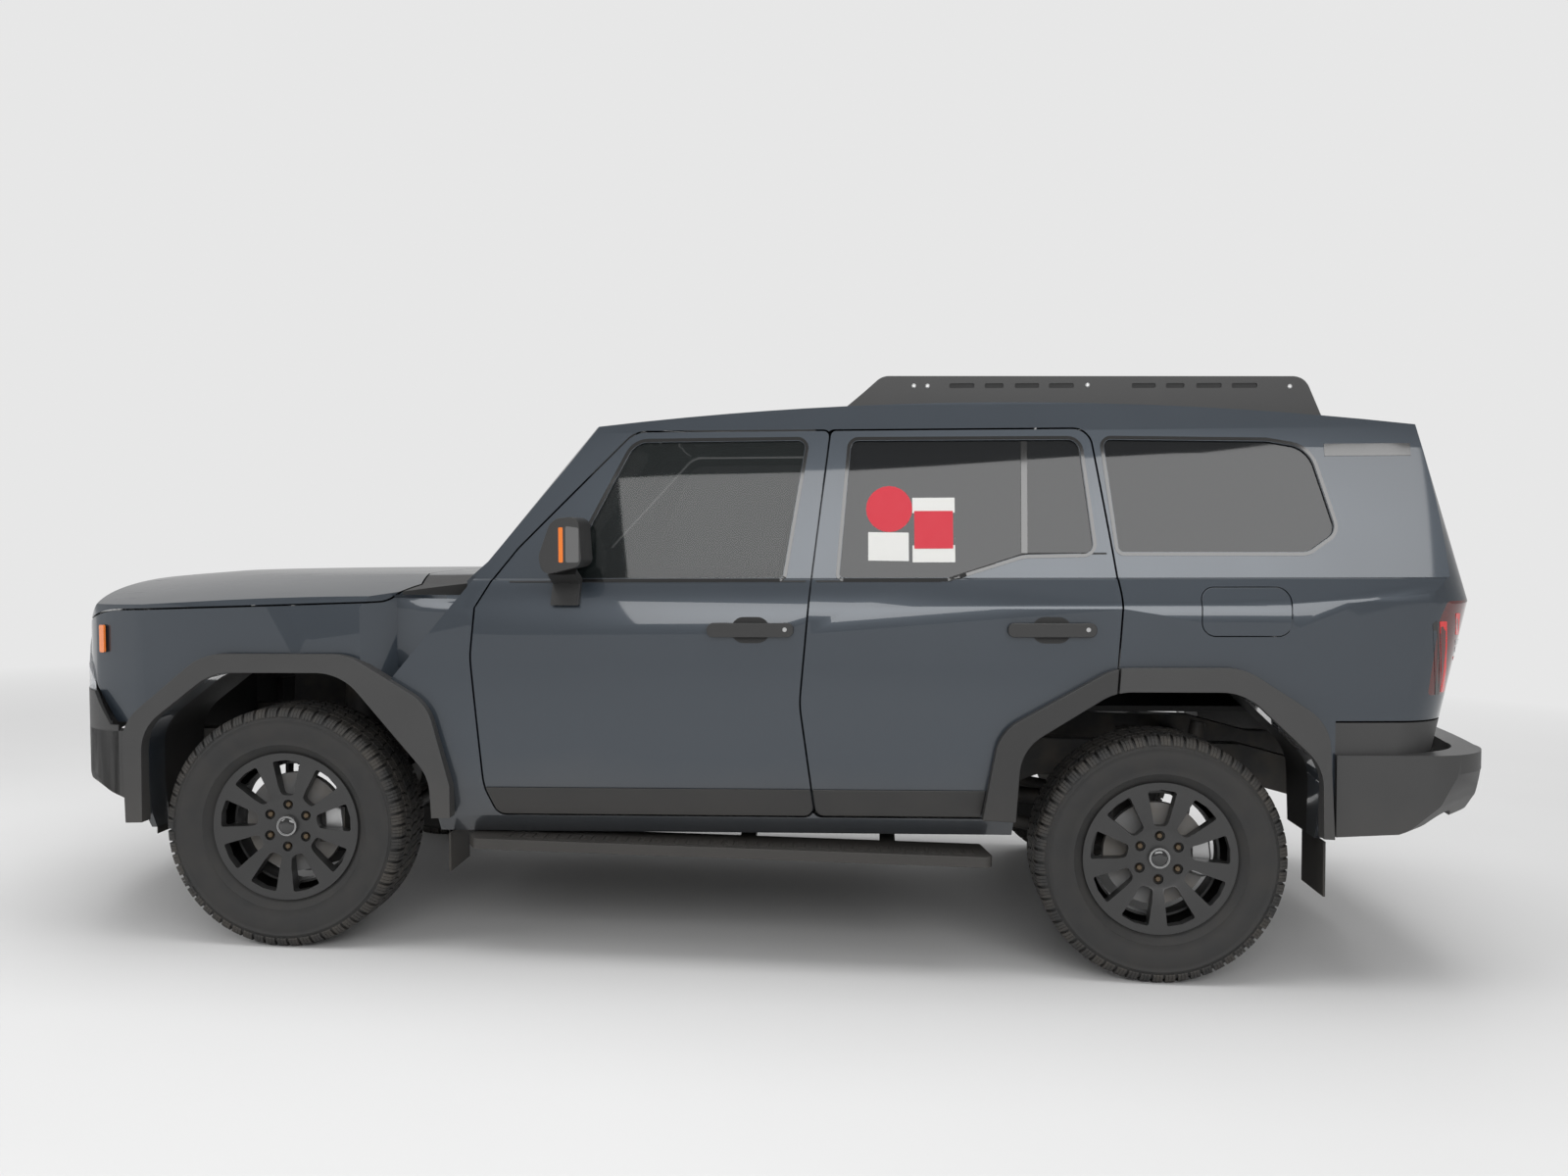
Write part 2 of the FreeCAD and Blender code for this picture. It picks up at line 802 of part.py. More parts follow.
def build_body():
    wide = 1100
    outer = body_form(outer_levels(), 0, 0, 0, 0, 0)
    roof_depth = size("roof_depth")
    inner = body_form(
        inner_levels(),
        roof_depth,
        size("hood_depth"),
        size("screen_depth"),
        size("nose_depth"),
        size("tail_depth"),
    )
    shell = outer.cut(inner)
    half = shell.common(box(-3000, 3000, 0, wide, 0, 2200))
    skin_limit = half_section(outer_levels(size("door_skin")))

    # doors: the skin covers the whole outline, the deeper part stands in from it
    def door(points, window):
        blank = half.common(side_prism(points, 300, wide))
        rim = side_prism(points, 300, wide, 40).cut(side_prism(points, 290, wide, -size("door_step")))
        blank = blank.cut(rim.common(skin_limit))
        return blank.cut(side_prism(window, 300, wide))

    front_door = main_solids(door(front_door_outline(), front_window_outline()))
    rear_blank = [corner for corner in rear_door_outline()]
    rear_blank[0] = (-254 - gap, rear_blank[0][1], 30)
    rear_blank[1] = (-205 - gap, rear_blank[1][1], 300)
    rear_blank[2] = (-242 - gap, belt)
    rear_blank[3] = (-303 - gap, rear_blank[3][1], 18)
    rear_door = main_solids(door(rear_blank, rear_window_outline()))
    for name, place in (("left", lambda shape: shape), ("right", mirrored)):
        add_shape(f"front_door_{name}", place(front_door))
        add_shape(f"rear_door_{name}", place(rear_door))

    # window glass, one curved sheet cut to each window
    glass_inset = size("glass_inset")
    sheet_outer = half_section(outer_levels(glass_inset))
    sheet_inner = half_section(outer_levels(glass_inset + size("glass_thickness")))
    sheet_glass = sheet_outer.cut(sheet_inner)
    windows = {
        "front_door_glass": front_window_outline(),
        "rear_door_glass": rear_window_outline(),
        "quarter_glass": quarter_window_outline(),
    }
    panes = {}
    for name, points in windows.items():
        panes[name] = main_solids(sheet_glass.common(side_prism(points, 400, wide)))
    for name in ("front_door_glass", "rear_door_glass"):
        add_shape(f"{name}_left", panes[name])
        add_shape(f"{name}_right", mirrored(panes[name]))
    add_shape("quarter_glass", both(panes["quarter_glass"]))

    # hood
    line = hood_line()
    above = line + [(nose + 60, 1500), (line[0][0], 1500)]
    hood_space = side_prism(above, -wide, wide).common(plan_prism(hood_plan(), 900, 1500))
    hood = main_solids(shell.common(hood_space))
    add_shape("hood", hood)
    hood_cut = side_prism(above, -wide, wide, gap).common(plan_prism(hood_plan(-gap), 850, 1600))

    # windscreen
    screen_edge = [(-640, 1742, 60), (-800, belt + 14, 60), (800, belt + 14, 60), (640, 1742, 60)]
    screen_opening = section_prism(screen_edge, 200, 1200)
    glass_out = behind_screen(4)
    glass_in = behind_screen(4 + size("screen_thickness"))
    screen = outer.common(glass_out.cut(glass_in)).common(screen_opening)
    add_shape("windscreen", main_solids(screen))
    front_wall = box(200, 1250, -wide, wide, belt + 8, 1790)
    screen_cut = screen_opening.common(front_wall)

    # tailgate and its glass
    gate_edge = [
        (-690, 715, 60),
        (-735, 870, 40),
        (-700, belt, 300),
        (-640, 1710, 60),
        (-600, 1900),
        (600, 1900),
        (640, 1710, 60),
        (700, belt, 300),
        (735, 870, 40),
        (690, 715, 60),
    ]
    gate_start = tail + 326
    gate_space = section_prism(gate_edge, -2700, gate_start)
    gate_window = [(-560, 1330, 50), (-515, 1650, 50), (515, 1650, 50), (560, 1330, 50)]
    gate_opening = section_prism(gate_window, -2700, -2000)
    gate = shell.common(gate_space).cut(gate_opening)
    add_shape("tailgate", main_solids(gate))
    glass = outer.common(ahead_of_tail(8)).cut(ahead_of_tail(14)).common(gate_opening)
    add_shape("tailgate_glass", main_solids(glass))
    gate_cut = section_prism(gate_edge, -2700, gate_start + gap, gap)

    # what the fixed panels leave free
    front_cut = side_prism(front_door_outline(), 300, wide, gap)
    rear_cut = side_prism(rear_door_outline(), 300, wide, gap)
    front_wheel_cut = side_prism(wheel_opening_outline(front_arch), 300, wide)
    rear_wheel_cut = side_prism(rear_opening_outline(rear_arch), 300, wide)

    # fender
    fender_space = [
        (740, 380),
        (790, crease - 100),
        (770, belt + 8),
        (nose + 60, belt + 8),
        (nose + 60, crease - 60),
        (nose - 157, crease - 88),
        (nose - 370, crease - 381),
        (nose - 425, crease - 381),
        (front_arch.x + 470, 380),
    ]
    fender = half.common(side_prism(fender_space, 300, wide))
    fender = fender.cut(front_cut).cut(hood_cut).cut(front_wheel_cut).cut(screen_cut)
    cowl_space = plan_prism([(500, -1000), (500, 1000), (1400, 1000), (1400, -1000)], 1150, belt + 8)
    cowl_limit = box(500, 1500, -868, 868, 1100, belt + 8)
    posts = post_shapes()
    fender = main_solids(fender.cut(cowl_limit).cut(posts), 20000)
    add_shape("front_fenders", both(fender))

    # cowl
    cowl = shell.common(cowl_space).common(cowl_limit).cut(hood_cut).cut(screen_cut)
    cowl = cowl.cut(front_cut).cut(mirrored(front_cut)).cut(box(0, 790, -1000, 1000, 900, 1300))
    cowl = cowl.cut(posts).cut(mirrored(posts))
    add_shape("cowl_panel", main_solids(cowl, 20000))

    # roof panel
    roof_half = size("roof_half_width") - 82
    roof_space = box(-2600, 1200, -roof_half, roof_half, 1742, 2100)
    roof = shell.common(roof_space).cut(gate_cut).cut(posts).cut(mirrored(posts))
    add_shape("roof_panel", main_solids(roof, 20000))

    # tail lamps
    lamp_outline = [
        (tail + 290, 884, 12),
        (tail + 262, 1120, 30),
        (tail + 235, crease + 18, 15),
        (tail - 100, crease + 24),
        (tail - 100, 884),
    ]
    lamp_space = side_prism(lamp_outline, 640, wide)
    lamp = half.common(lamp_space).cut(gate_cut)
    add_shape("tail_lamps", both(main_solids(lamp, 20000)))

    # rear bumper corner region
    corner_space = side_prism([(tail + 583, 380), (tail + 583, 806), (tail - 100, 806), (tail - 100, 380)], -wide, wide)

    # body side
    side = half.cut(front_cut).cut(rear_cut).cut(rear_wheel_cut).cut(gate_cut)
    side = side.cut(side_prism(fender_space, 0, wide)).cut(roof_space).cut(lamp_space).cut(corner_space)
    side = side.cut(hood_cut).cut(screen_cut).cut(cowl_limit.common(box(500, 1500, -1000, 1000, 900, belt + 8)))
    side = side.cut(side_prism(quarter_window_outline(), 300, wide))
    side = side.cut(box(front_arch.x - 600, 3000, 0, wide, 0, 1150))
    side = main_solids(side, 40000)
    side = joined([side, posts])
    right_side = mirrored(side)
    side, fuel_door = fuel_filler(side)
    add_shape("body_side_left", side)
    add_shape("body_side_right", right_side)
    add_shape("fuel_door", fuel_door)
    return outer, posts, shell


def post_shapes():
    """Posts behind the door edges, with the pads that the closed doors rest on."""
    depth = size("post_depth")
    inside = half_section(inner_levels(gap + depth))
    behind = half_section(inner_levels(gap)).cut(inside)
    seat = half_section(inner_levels(size("seat_gap"))).cut(inside)
    joint = half_section(inner_levels(-1)).cut(inside)
    top = size("door_top_height")
    sill = size("door_bottom")
    centre_post = [(-170, sill - 70), (-150, crease - 310), (-200, belt), (-262, 1800), (-342, 1800), (-296, belt), (-270, sill - 70)]
    front_post = [(905, sill - 70), (905, belt - 4), (800, belt + 90), (690, belt + 90), (770, belt), (770, sill - 70)]
    shapes = []
    for points in (centre_post, front_post):
        column = side_prism(points, 300, 1100)
        shapes.append(behind.common(column))
        for low in (sill + 160, crease - 130):
            shapes.append(seat.common(column).common(box(-3000, 3000, 300, 1100, low, low + 70)))
        shapes.append(joint.common(column).common(box(-3000, 3000, 300, 1100, size("sill_bottom") - 15, sill - gap)))
    column = side_prism(centre_post, 300, 1100)
    shapes.append(joint.common(column).common(box(-3000, 3000, size("roof_half_width") - 82, 1100, top + gap, 2000)))
    column = side_prism(front_post, 300, 1100)
    shapes.append(joint.common(column).common(box(-3000, 3000, 300, 1100, belt + 9, 1400)).cut(side_prism(front_door_outline(), 300, 1100, gap)))
    return joined(shapes)


def fuel_filler(side):
    """The side panel with its filler recess, and the small door that closes it."""
    length = size("fuel_door_length")
    height = size("fuel_door_height")
    x = rear_arch.x - 118 - length
    z = crease - 92
    points = [(x, z, 45), (x, z + height, 45), (x + length, z + height, 45), (x + length, z, 45)]
    bottom = size("body_half_width") - size("filler_depth")
    recess = side_prism(points, bottom, 1100)
    flap = half_section(outer_levels()).cut(half_section(outer_levels(size("fuel_door_thickness"))))
    flap = flap.common(side_prism(points, 700, 1100, -size("fuel_gap")))
    rest = half_section(outer_levels(size("fuel_door_thickness") + size("seat_gap")))
    rest = rest.common(box(x - 10, x + 22, bottom - 2, 1100, z + 20, z + 56))
    middle = (x + length / 2, z + height / 2)
    cap = rod((middle[0], bottom - 2, middle[1]), (middle[0], bottom + 40, middle[1]), 42)
    return side.cut(recess).multiFuse([rest, cap]), flap



def bumper_outline(face):
    wide = size("body_half_width")
    half = [
        (face - 400, wide + 3),
        ("via", face - 215, wide - 60),
        (face - 120, wide - 220),
        ("via", face, 0),
    ]
    other = [(face - 120, 220 - wide), ("via", face - 215, 60 - wide), (face - 400, -wide - 3)]
    return half + other


def build_front_end(shell):
    wide = size("body_half_width")
    # one form for the whole nose; its side view is the profile at the middle of the car
    profile = [
        (nose - 500, 470),
        (nose - 75, 455, 30),
        (nose - 4, 540, 40),
        (nose, 640, 12),
        (nose - 36, 668, 12),
        (nose - 44, 800, 20),
        (nose - 60, 880, 40),
        (nose - 92, crease - 100, 30),
        (nose - 500, crease - 92),
    ]
    nose_form = plan_prism(bumper_outline(nose), 380, 1200).common(side_prism(profile, -1100, 1100))
    nose_back = plan_prism(bumper_outline(nose - 90), 300, 1300)
    skin = nose_form.cut(nose_back)
    corner = [
        (nose - 600, 380),
        (front_arch.x + 470, 480),
        (front_arch.x + 500, 650, 60),
        (nose - 425, crease - 387),
        (nose - 370, crease - 387),
        (nose - 157, crease - 94),
        (nose - 100, crease - 94),
        (nose + 100, crease - 94),
        (nose + 100, 380),
    ]
    skin = skin.common(side_prism(corner, -1100, 1100))
    lamp_face = [(-wide, 880, 20), (-wide, crease - 100, 10), (-560, crease - 100, 20), (-600, 890, 40)]
    grille_face = [(-575, 845, 40), (-540, crease - 112, 30), (540, crease - 112, 30), (575, 845, 40)]
    intake_face = [(-480, 560, 40), (-520, 700, 40), (520, 700, 40), (480, 560, 40)]
    lamp_hole = section_prism([(-wide - 60, 880), *lamp_face[1:3], lamp_face[3]], nose - 700, nose + 50)
    lamps = main_solids(skin.common(lamp_hole), 20000)
    add_shape("headlamps", both(lamps))
    grille_hole = section_prism(grille_face, nose - 300, nose + 50)
    intake_hole = section_prism(intake_face, nose - 300, nose + 50)
    bars = []
    for index in range(5):
        z = 880 + index * 40
        bars.append(box(nose - 300, nose + 50, -620, 620, z - 9, z + 9))
    bars.append(box(nose - 300, nose + 50, -12, 12, 800, 1100))
    mesh_form = plan_prism(bumper_outline(nose - 50), 380, 1200).cut(plan_prism(bumper_outline(nose - 66), 300, 1300))
    backing = mesh_form.common(grille_hole)
    frame = skin.common(grille_hole).cut(section_prism(grille_face, nose - 300, nose + 50, -26))
    blades = skin.common(grille_hole).common(Part.makeCompound(bars))
    add_shape("grille", joined([frame, blades.cut(backing), backing]))
    bumper = skin.cut(lamp_hole).cut(mirrored(lamp_hole)).cut(grille_hole).cut(intake_hole)
    tunnel = box(nose - 700, nose - 40, -430, 430, 470, 520)
    bumper = joined([main_solids(bumper, 100000), tunnel.cut(nose_back).common(nose_form)])
    add_shape("front_bumper", bumper)
    return bumper


def build_rear_bumper(shell):
    face = tail
    wide = size("body_half_width")
    half = [(face + 583, wide + 5), (face + 300, wide + 2), ("via", face + 95, wide - 110), (face + 60, wide - 240), ("via", face, 0)]
    other = [(face + 60, 240 - wide), ("via", face + 95, 110 - wide), (face + 300, -wide - 2), (face + 583, -wide - 5)]
    points = half + other
    profile = [(face - 50, 515, 40), (face + 60, 468), (face + 620, 440), (face + 620, 700), (face - 50, 700, 20)]
    form = plan_prism(points, 380, 900).common(side_prism(profile, -1100, 1100))
    moved = [(p[0] + 70, p[1] * 0.93) if p[0] != "via" else ("via", p[1] + 70, p[2] * 0.93) for p in points]
    beam = form.cut(plan_prism([(face + 700, wide * 0.93)] + moved + [(face + 700, -wide * 0.93)], 300, 1000))
    corner = [(face + 583, 700), (face + 583, 800), (face - 100, 800), (face - 100, 700)]
    corners = shell.common(side_prism(corner, -1100, 1100))
    corners = corners.cut(box(tail - 100, tail + 700, -741, 741, 600, 900))
    corners = corners.cut(side_prism(rear_opening_outline(rear_arch), -1100, 1100))
    rear_part = beam.cut(side_prism(rear_opening_outline(rear_arch), -1100, 1100))
    add_shape("rear_bumper", joined([main_solids(rear_part, 50000), main_solids(corners, 5000)]))


def front_flare_outline(arch):
    x = arch.x
    z = arch.z
    return [
        (x - 569, z + 45),
        (x - 569, z + 149),
        (x - 498, z + 415, 150),
        (x - 236, z + 576, 180),
        (x + 245, z + 576, 180),
        (x + 523, z + 348, 150),
        (x + 514, z + 20),
    ]


def rear_flare_outline(arch):
    x = arch.x
    z = arch.z
    return [
        (x - 525, z + 78),
        (x - 505, z + 443, 150),
        (x - 243, z + 614, 180),
        (x + 156, z + 613, 180),
        (x + 514, z + 410, 150),
        (x + 567, z + 128),
    ]


def ahead_of_door_end():
    """The rear door and all that lies below and ahead of its rear edge."""
    return rear_door_outline()[:-2] + [(rear_arch.x + 147, 300), (rear_arch.x + 700, 300)]


def build_flares(outer):
    front = side_prism(front_flare_outline(front_arch), 935, size("flare_reach"))
    front = front.cut(side_prism(wheel_opening_outline(front_arch), 300, 1100)).cut(outer)
    rear = side_prism(rear_flare_outline(rear_arch), 935, size("flare_reach"))
    rear = rear.cut(side_prism(rear_opening_outline(rear_arch), 300, 1100)).cut(outer)
    door_part = main_solids(rear.common(side_prism(ahead_of_door_end(), 300, 1100)))
    return front, rear, door_part


def build_chassis(bumper):
    rail_low = size("rail_bottom")
    high = size("rail_height")
    kick = size("kick_height")
    rail = [
        (nose - 100, rail_low + 40),
        (front_axle + 420, rail_low + 60),
        (front_axle + 200, rail_low + kick),
        (front_axle - 260, rail_low + kick),
        (front_axle - 520, rail_low),
        (rear_axle + 640, rail_low),
        (rear_axle + 330, rail_low + kick),
        (rear_axle - 380, rail_low + kick),
        (rear_axle - 620, rail_low + 60),
        (tail + 180, rail_low + 60),
    ]
    upper = [(x, z + high) for x, z in reversed(rail)]
    outer = size("rail_outer")
    inner = outer - size("rail_width")
    left = side_prism(rail + upper, inner, outer)
    shapes = [left, mirrored(left)]
    depth = size("crossmember_depth")
    for x, z in (
        (nose - 230, rail_low + 60),
        (front_axle + 340, rail_low + 70),
        (front_axle, engine_low - depth),
        (-60, rail_low + 75),
        (-500, rail_low + 75),
        (rear_axle + 420, rail_low + 90),
        (rear_axle - 300, rail_low + kick + 20),
        (tail + 240, rail_low + 70),
    ):
        shapes.append(box(x - 35, x + 35, -inner - 1, inner + 1, z, z + depth))
    for x, low, high in ((350, gearbox_rest - depth, rail_low + 5), (rack_place, rail_low, rail_low + kick + 2)):
        shapes.append(box(x - 35, x + 35, -outer, outer, low, low + depth))
        for side in (-outer, inner):
            shapes.append(box(x - 35, x + 35, side, side + outer - inner, low, high))
    # plates beside the eyes of the front arms, and a tower over each front strut
    kept = []
    plate_end = 464
    for end in (-1, 1):
        for face in (40, -52):
            x = front_axle + end * 170 + face
            kept.append(box(x, x + 12, 385, outer, arm_levels[0] - 8, rail_low + kick + 4))
            x = front_axle + end * 110 + face
            kept.append(box(x, x + 12, outer - 2, plate_end, arm_levels[1] - 30, arm_levels[1] + 42))
    strut_x = front_axle - 95
    plate = strut_top + 2
    tower = box(strut_x - 55, strut_x + 55, outer + 0.2, outer + 14, rail_low + kick + 64, plate + 10)
    tower = tower.fuse(box(strut_x - 55, strut_x + 55, outer + 0.2, 570, plate, plate + 10))
    # mounts that carry the body's floor
    under_floor = box(-2600, 2600, -1000, 1000, 0, size("floor_height"))
    under_floor.Placement = raked
    for x in (700, -20, -560):
        kept.append(rod((x, outer - 38, rail_low + high - 2), (x, outer - 38, 720), 34).common(under_floor))
    for shape in kept:
        shapes += [shape, mirrored(shape)]
    nose_part = bumper.copy()
    nose_part.Placement = raked
    ladder = joined(shapes).cut(nose_part).cut(gearbox_shape())
    lengths = []
    ends = (-3000, *frame_breaks, 3000)
    for back, ahead in zip(ends, ends[1:]):
        stretch = box(back + seam / 2, ahead - seam / 2, -1000, 1000, 0, 2000)
        lengths.append(main_solids(ladder.common(stretch)))
    add_shape("ladder_frame", Part.makeCompound([*lengths, tower, mirrored(tower)]), level)


def build_running_gear():
    z = axle_height
    kingpin = wheel_place - size("kingpin_inset")
    upper = z + size("upper_pin_height")
    lower = z - size("lower_pin_height")
    # front suspension: diff housing, half shafts, arms and coil struts
    shapes = []
    case = size("differential_radius")
    diff = rod((front_axle, -70, z + 10), (front_axle, 70, z + 10), case)
    tube = rod((front_axle, -220, z + 10), (front_axle, 220, z + 10), 50)
    neck = box(front_axle - 30, front_axle + 30, -50, 50, z + 100, engine_low - size("crossmember_depth"))
    shapes.append(joined([diff, tube, neck]))
    left = []
    ball = size("ball_radius")
    half_shaft = rod((front_axle, 220, z + 10), (front_axle, kingpin, z), size("half_shaft_radius"))
    joint = rod((front_axle, kingpin, z - ball), (front_axle, kingpin, z + ball), ball)
    left.append(half_shaft.fuse(joint))
    pin = size("pin_radius")
    for height, inner_y, spread, size_z in ((lower, 420, 170, 34), (upper, 470, 110, 24)):
        points = [
            (front_axle - 26, kingpin + 22),
            (front_axle + 26, kingpin + 22),
            (front_axle + 34, kingpin - 60),
            (front_axle + spread + 30, inner_y),
            (front_axle + spread - 30, inner_y),
            (front_axle, kingpin - 120),
            (front_axle - spread + 30, inner_y),
            (front_axle - spread - 30, inner_y),
            (front_axle - 34, kingpin - 60),
        ]
        sign = 1 if height > z else -1
        arm_low = height + (30 if sign > 0 else -30 - size_z)
        arm = plan_prism(points, arm_low, arm_low + size_z)
        arm = arm.fuse(rod((front_axle, kingpin, arm_low + 10), (front_axle, kingpin, height - sign * 26), pin))
        for x in (-spread, spread):
            eye = (front_axle + x, inner_y - 4, arm_low + size_z / 2)
            arm = arm.fuse(rod((eye[0] - 40, eye[1], eye[2]), (eye[0] + 40, eye[1], eye[2]), 26))
        left.append(arm)
    strut_x = front_axle - 95
    foot = (strut_x, 545, lower - 30)
    head = (strut_x, 505, strut_top)
    strut = rod(foot, head, 28)
    coil = rod((strut_x, 530, lower + 190), (strut_x, 509, 860), size("spring_radius"))
    left.append(strut.fuse(coil))
    shapes += left + [mirrored(shape) for shape in left]
    rack_x = rack_place
    low = z - tie_rod_drop
    rack = [rod((rack_x, -330, low), (rack_x, 330, low), 26)]
    for sign in (1, -1):
        rod_end = (front_axle - steering_arm_reach, sign * (kingpin - 45), low)
        rack.append(rod((rack_x, sign * 325, low), rod_end, 11))
        rack.append(box(rack_x - 14, rack_x + 14, sign * 260 - 20, sign * 260 + 20, low, size("rail_bottom")))
    shapes.append(joined(rack))
    add_shape("front_suspension", Part.makeCompound(shapes), level)

    # rear axle: tube, diff, brake shields, springs and dampers
    tube_radius = size("axle_tube_radius")
    end = wheel_place - 120
    axle = rod((rear_axle, -end, z), (rear_axle, end, z), tube_radius)
    axle = axle.fuse(rod((rear_axle, -80, z), (rear_axle, 80, z), case + 15))
    parts = [axle]
    for sign in (1, -1):
        start = sign * (end - 4)
        spindle_end = sign * (wheel_place + size("spoke_face") - 12)
        parts.append(rod((rear_axle, start, z), (rear_axle, spindle_end, z), size("spindle_radius")))
        parts.append(rod((rear_axle, sign * (end - 40), z), (rear_axle, sign * end, z), 75))
        parts.append(rod((rear_axle, sign * 520, z - 70), (rear_axle, sign * 520, z + 50), 50))
    rear = joined(parts)
    loose = []
    for sign in (1, -1):
        loose.append(rod((rear_axle + 20, sign * 520, z + 50), (rear_axle + 20, sign * 520, 760), size("spring_radius")))
        loose.append(rod((rear_axle - 130, sign * 560, 330), (rear_axle - 200, sign * 540, 790), 26))
        loose.append(rod((rear_axle, sign * 560, z - 10), (rear_axle - 135, sign * 560, 350), 16))
        link_start = (rear_axle, sign * 480, z - 62)
        link_end = (rear_axle + 760, sign * 458, rail_mount)
        loose.append(rod(link_start, link_end, 24))
        loose.append(rod((link_end[0], sign * size("rail_outer"), rail_mount), link_end, 10))
    beam = joined([rear] + loose)
    add_shape("rear_axle", beam, level)
    return beam




def build_knuckle(name, sign):
    z = axle_height
    kingpin = wheel_place - size("kingpin_inset")
    ball = size("ball_radius") + 1
    upper = z + size("upper_pin_height")
    lower = z - size("lower_pin_height")
    spindle_end = wheel_place + size("spoke_face") - 12
    hub = rod((front_axle, kingpin - 24, z), (front_axle, wheel_place - 24, z), 62)
    hub = hub.fuse(rod((front_axle, wheel_place - 30, z), (front_axle, spindle_end, z), size("spindle_radius")))
    posts = box(front_axle - 24, front_axle + 24, kingpin - 18, kingpin + 18, lower - 24, upper + 24)
    lugs = posts
    arm = [
        (front_axle, kingpin - 16),
        (front_axle - steering_arm_reach - 22, kingpin - 64),
        (front_axle - steering_arm_reach - 22, kingpin - 26),
        (front_axle - 40, kingpin + 34),
    ]
    arm_low = z - tie_rod_drop + 16
    steering_arm = plan_prism(arm, arm_low, arm_low + 20)
    knuckle = joined([hub, lugs, steering_arm])
    pin = size("pin_radius") + size("running_gap")
    for low, high in ((upper - 34, upper + 30), (lower - 30, lower + 34)):
        knuckle = knuckle.cut(rod((front_axle, kingpin, low), (front_axle, kingpin, high), pin))
    caliper = box(front_axle - 176, front_axle - 92, wheel_place - 30, wheel_place + 42, z - 60, z + 60)
    slot = rod((front_axle, wheel_place - 14, z), (front_axle, wheel_place + 30, z), size("disc_radius") + 6)
    caliper = caliper.cut(slot)
    bridge = box(front_axle - 176, front_axle - 30, wheel_place - 52, wheel_place - 22, z - 34, z + 34)
    knuckle = joined([knuckle, bridge.cut(slot), caliper])
    knuckle = knuckle.cut(rod((front_axle, kingpin, z - ball), (front_axle, kingpin, z + ball), ball))
    knuckle = knuckle.cut(rod((front_axle, kingpin - 70, z), (front_axle, kingpin, z), ball))
    if sign < 0:
        knuckle = mirrored(knuckle)
    add_shape(f"knuckle_{name}", knuckle, level)


def build_plain_inside(posts):
    floor = size("floor_height")
    thick = size("floor_thickness")
    half = size("body_half_width") - size("door_depth") - 30
    wall = size("firewall_place")
    load = size("load_floor_height")
    board_front = -975
    board_step = 8
    side = [
        (wall, floor),
        (wall, belt - 102),
        (wall - thick, belt - 102),
        (wall - thick, floor + thick),
        (rear_arch.x + 560, floor + thick),
        (rear_arch.x + 500, load),
        (board_front, load),
        (board_front, load + board_step),
        (tail + 40, load + board_step),
        (tail + 40, load - thick),
        (rear_arch.x + 500 - thick, load - thick),
        (rear_arch.x + 560 - thick, floor),
    ]
    pan = side_prism(side, -half, half)
    pan = pan.common(ahead_of_tail(size("tail_depth") + size("seat_gap")))
    pan = pan.cut(side_prism(rear_opening_outline(rear_arch), 590, 1100, 8))
    pan = pan.cut(mirrored(side_prism(rear_opening_outline(rear_arch), 590, 1100, 8)))
    pan = pan.cut(posts).cut(mirrored(posts))
    add_shape("floor_pan", main_solids(pan, 100000))
    radiator_x = nose - 210
    radiator = box(radiator_x - 60, radiator_x, -345, 345, 600, 1040)
    under_hood = crowned(front_arch.x - 339, size("hood_height") - size("hood_depth") - size("seat_gap"), size("hood_crown_length"), size("hood_crown_width"), 300, 2700)
    posts = [box(radiator_x - 50, radiator_x - 10, y - 25, y + 25, 1030, 1400).common(under_hood) for y in (-300, 300)]
    beam = box(nose - 280, nose - 180, -400, 400, 400, size("rail_bottom") + 60 + size("crossmember_depth"))
    beam.Placement = raked.inverse()
    add_shape("radiator", joined([radiator] + posts).cut(beam))


def build_flaps_and_liners(shell):
    thick = size("liner_thickness")
    front_points = wheel_opening_outline(front_arch, 60)
    liner = side_prism(front_points, 560, 880, thick + 2).cut(side_prism(front_points, 400, 1000, 2)).cut(shell)
    liner = liner.cut(box(-3000, 3000, 0, 1200, 0, front_arch.z - 40))
    rear_points = rear_opening_outline(rear_arch, 60)
    rear = side_prism(rear_points, 600, 880, thick + 2).cut(side_prism(rear_points, 400, 1000, 2)).cut(shell)
    rear = rear.cut(box(-3000, 3000, 0, 1200, 0, rear_arch.z + 60))
    flap = size("flap_thickness")
    front_flap = box(front_arch.x - 560, front_arch.x - 560 + flap, 740, 950, 300, size("sill_bottom") - 20)
    rear_flap = box(rear_arch.x - 510, rear_arch.x - 510 + flap, 740, 950, 250, size("sill_bottom") - 20)
    left = [main_solids(liner), main_solids(rear), front_flap, rear_flap]
    shapes = []
    for shape in left:
        shapes += [shape, mirrored(shape)]
    add_shape("arch_liners", Part.makeCompound(shapes))



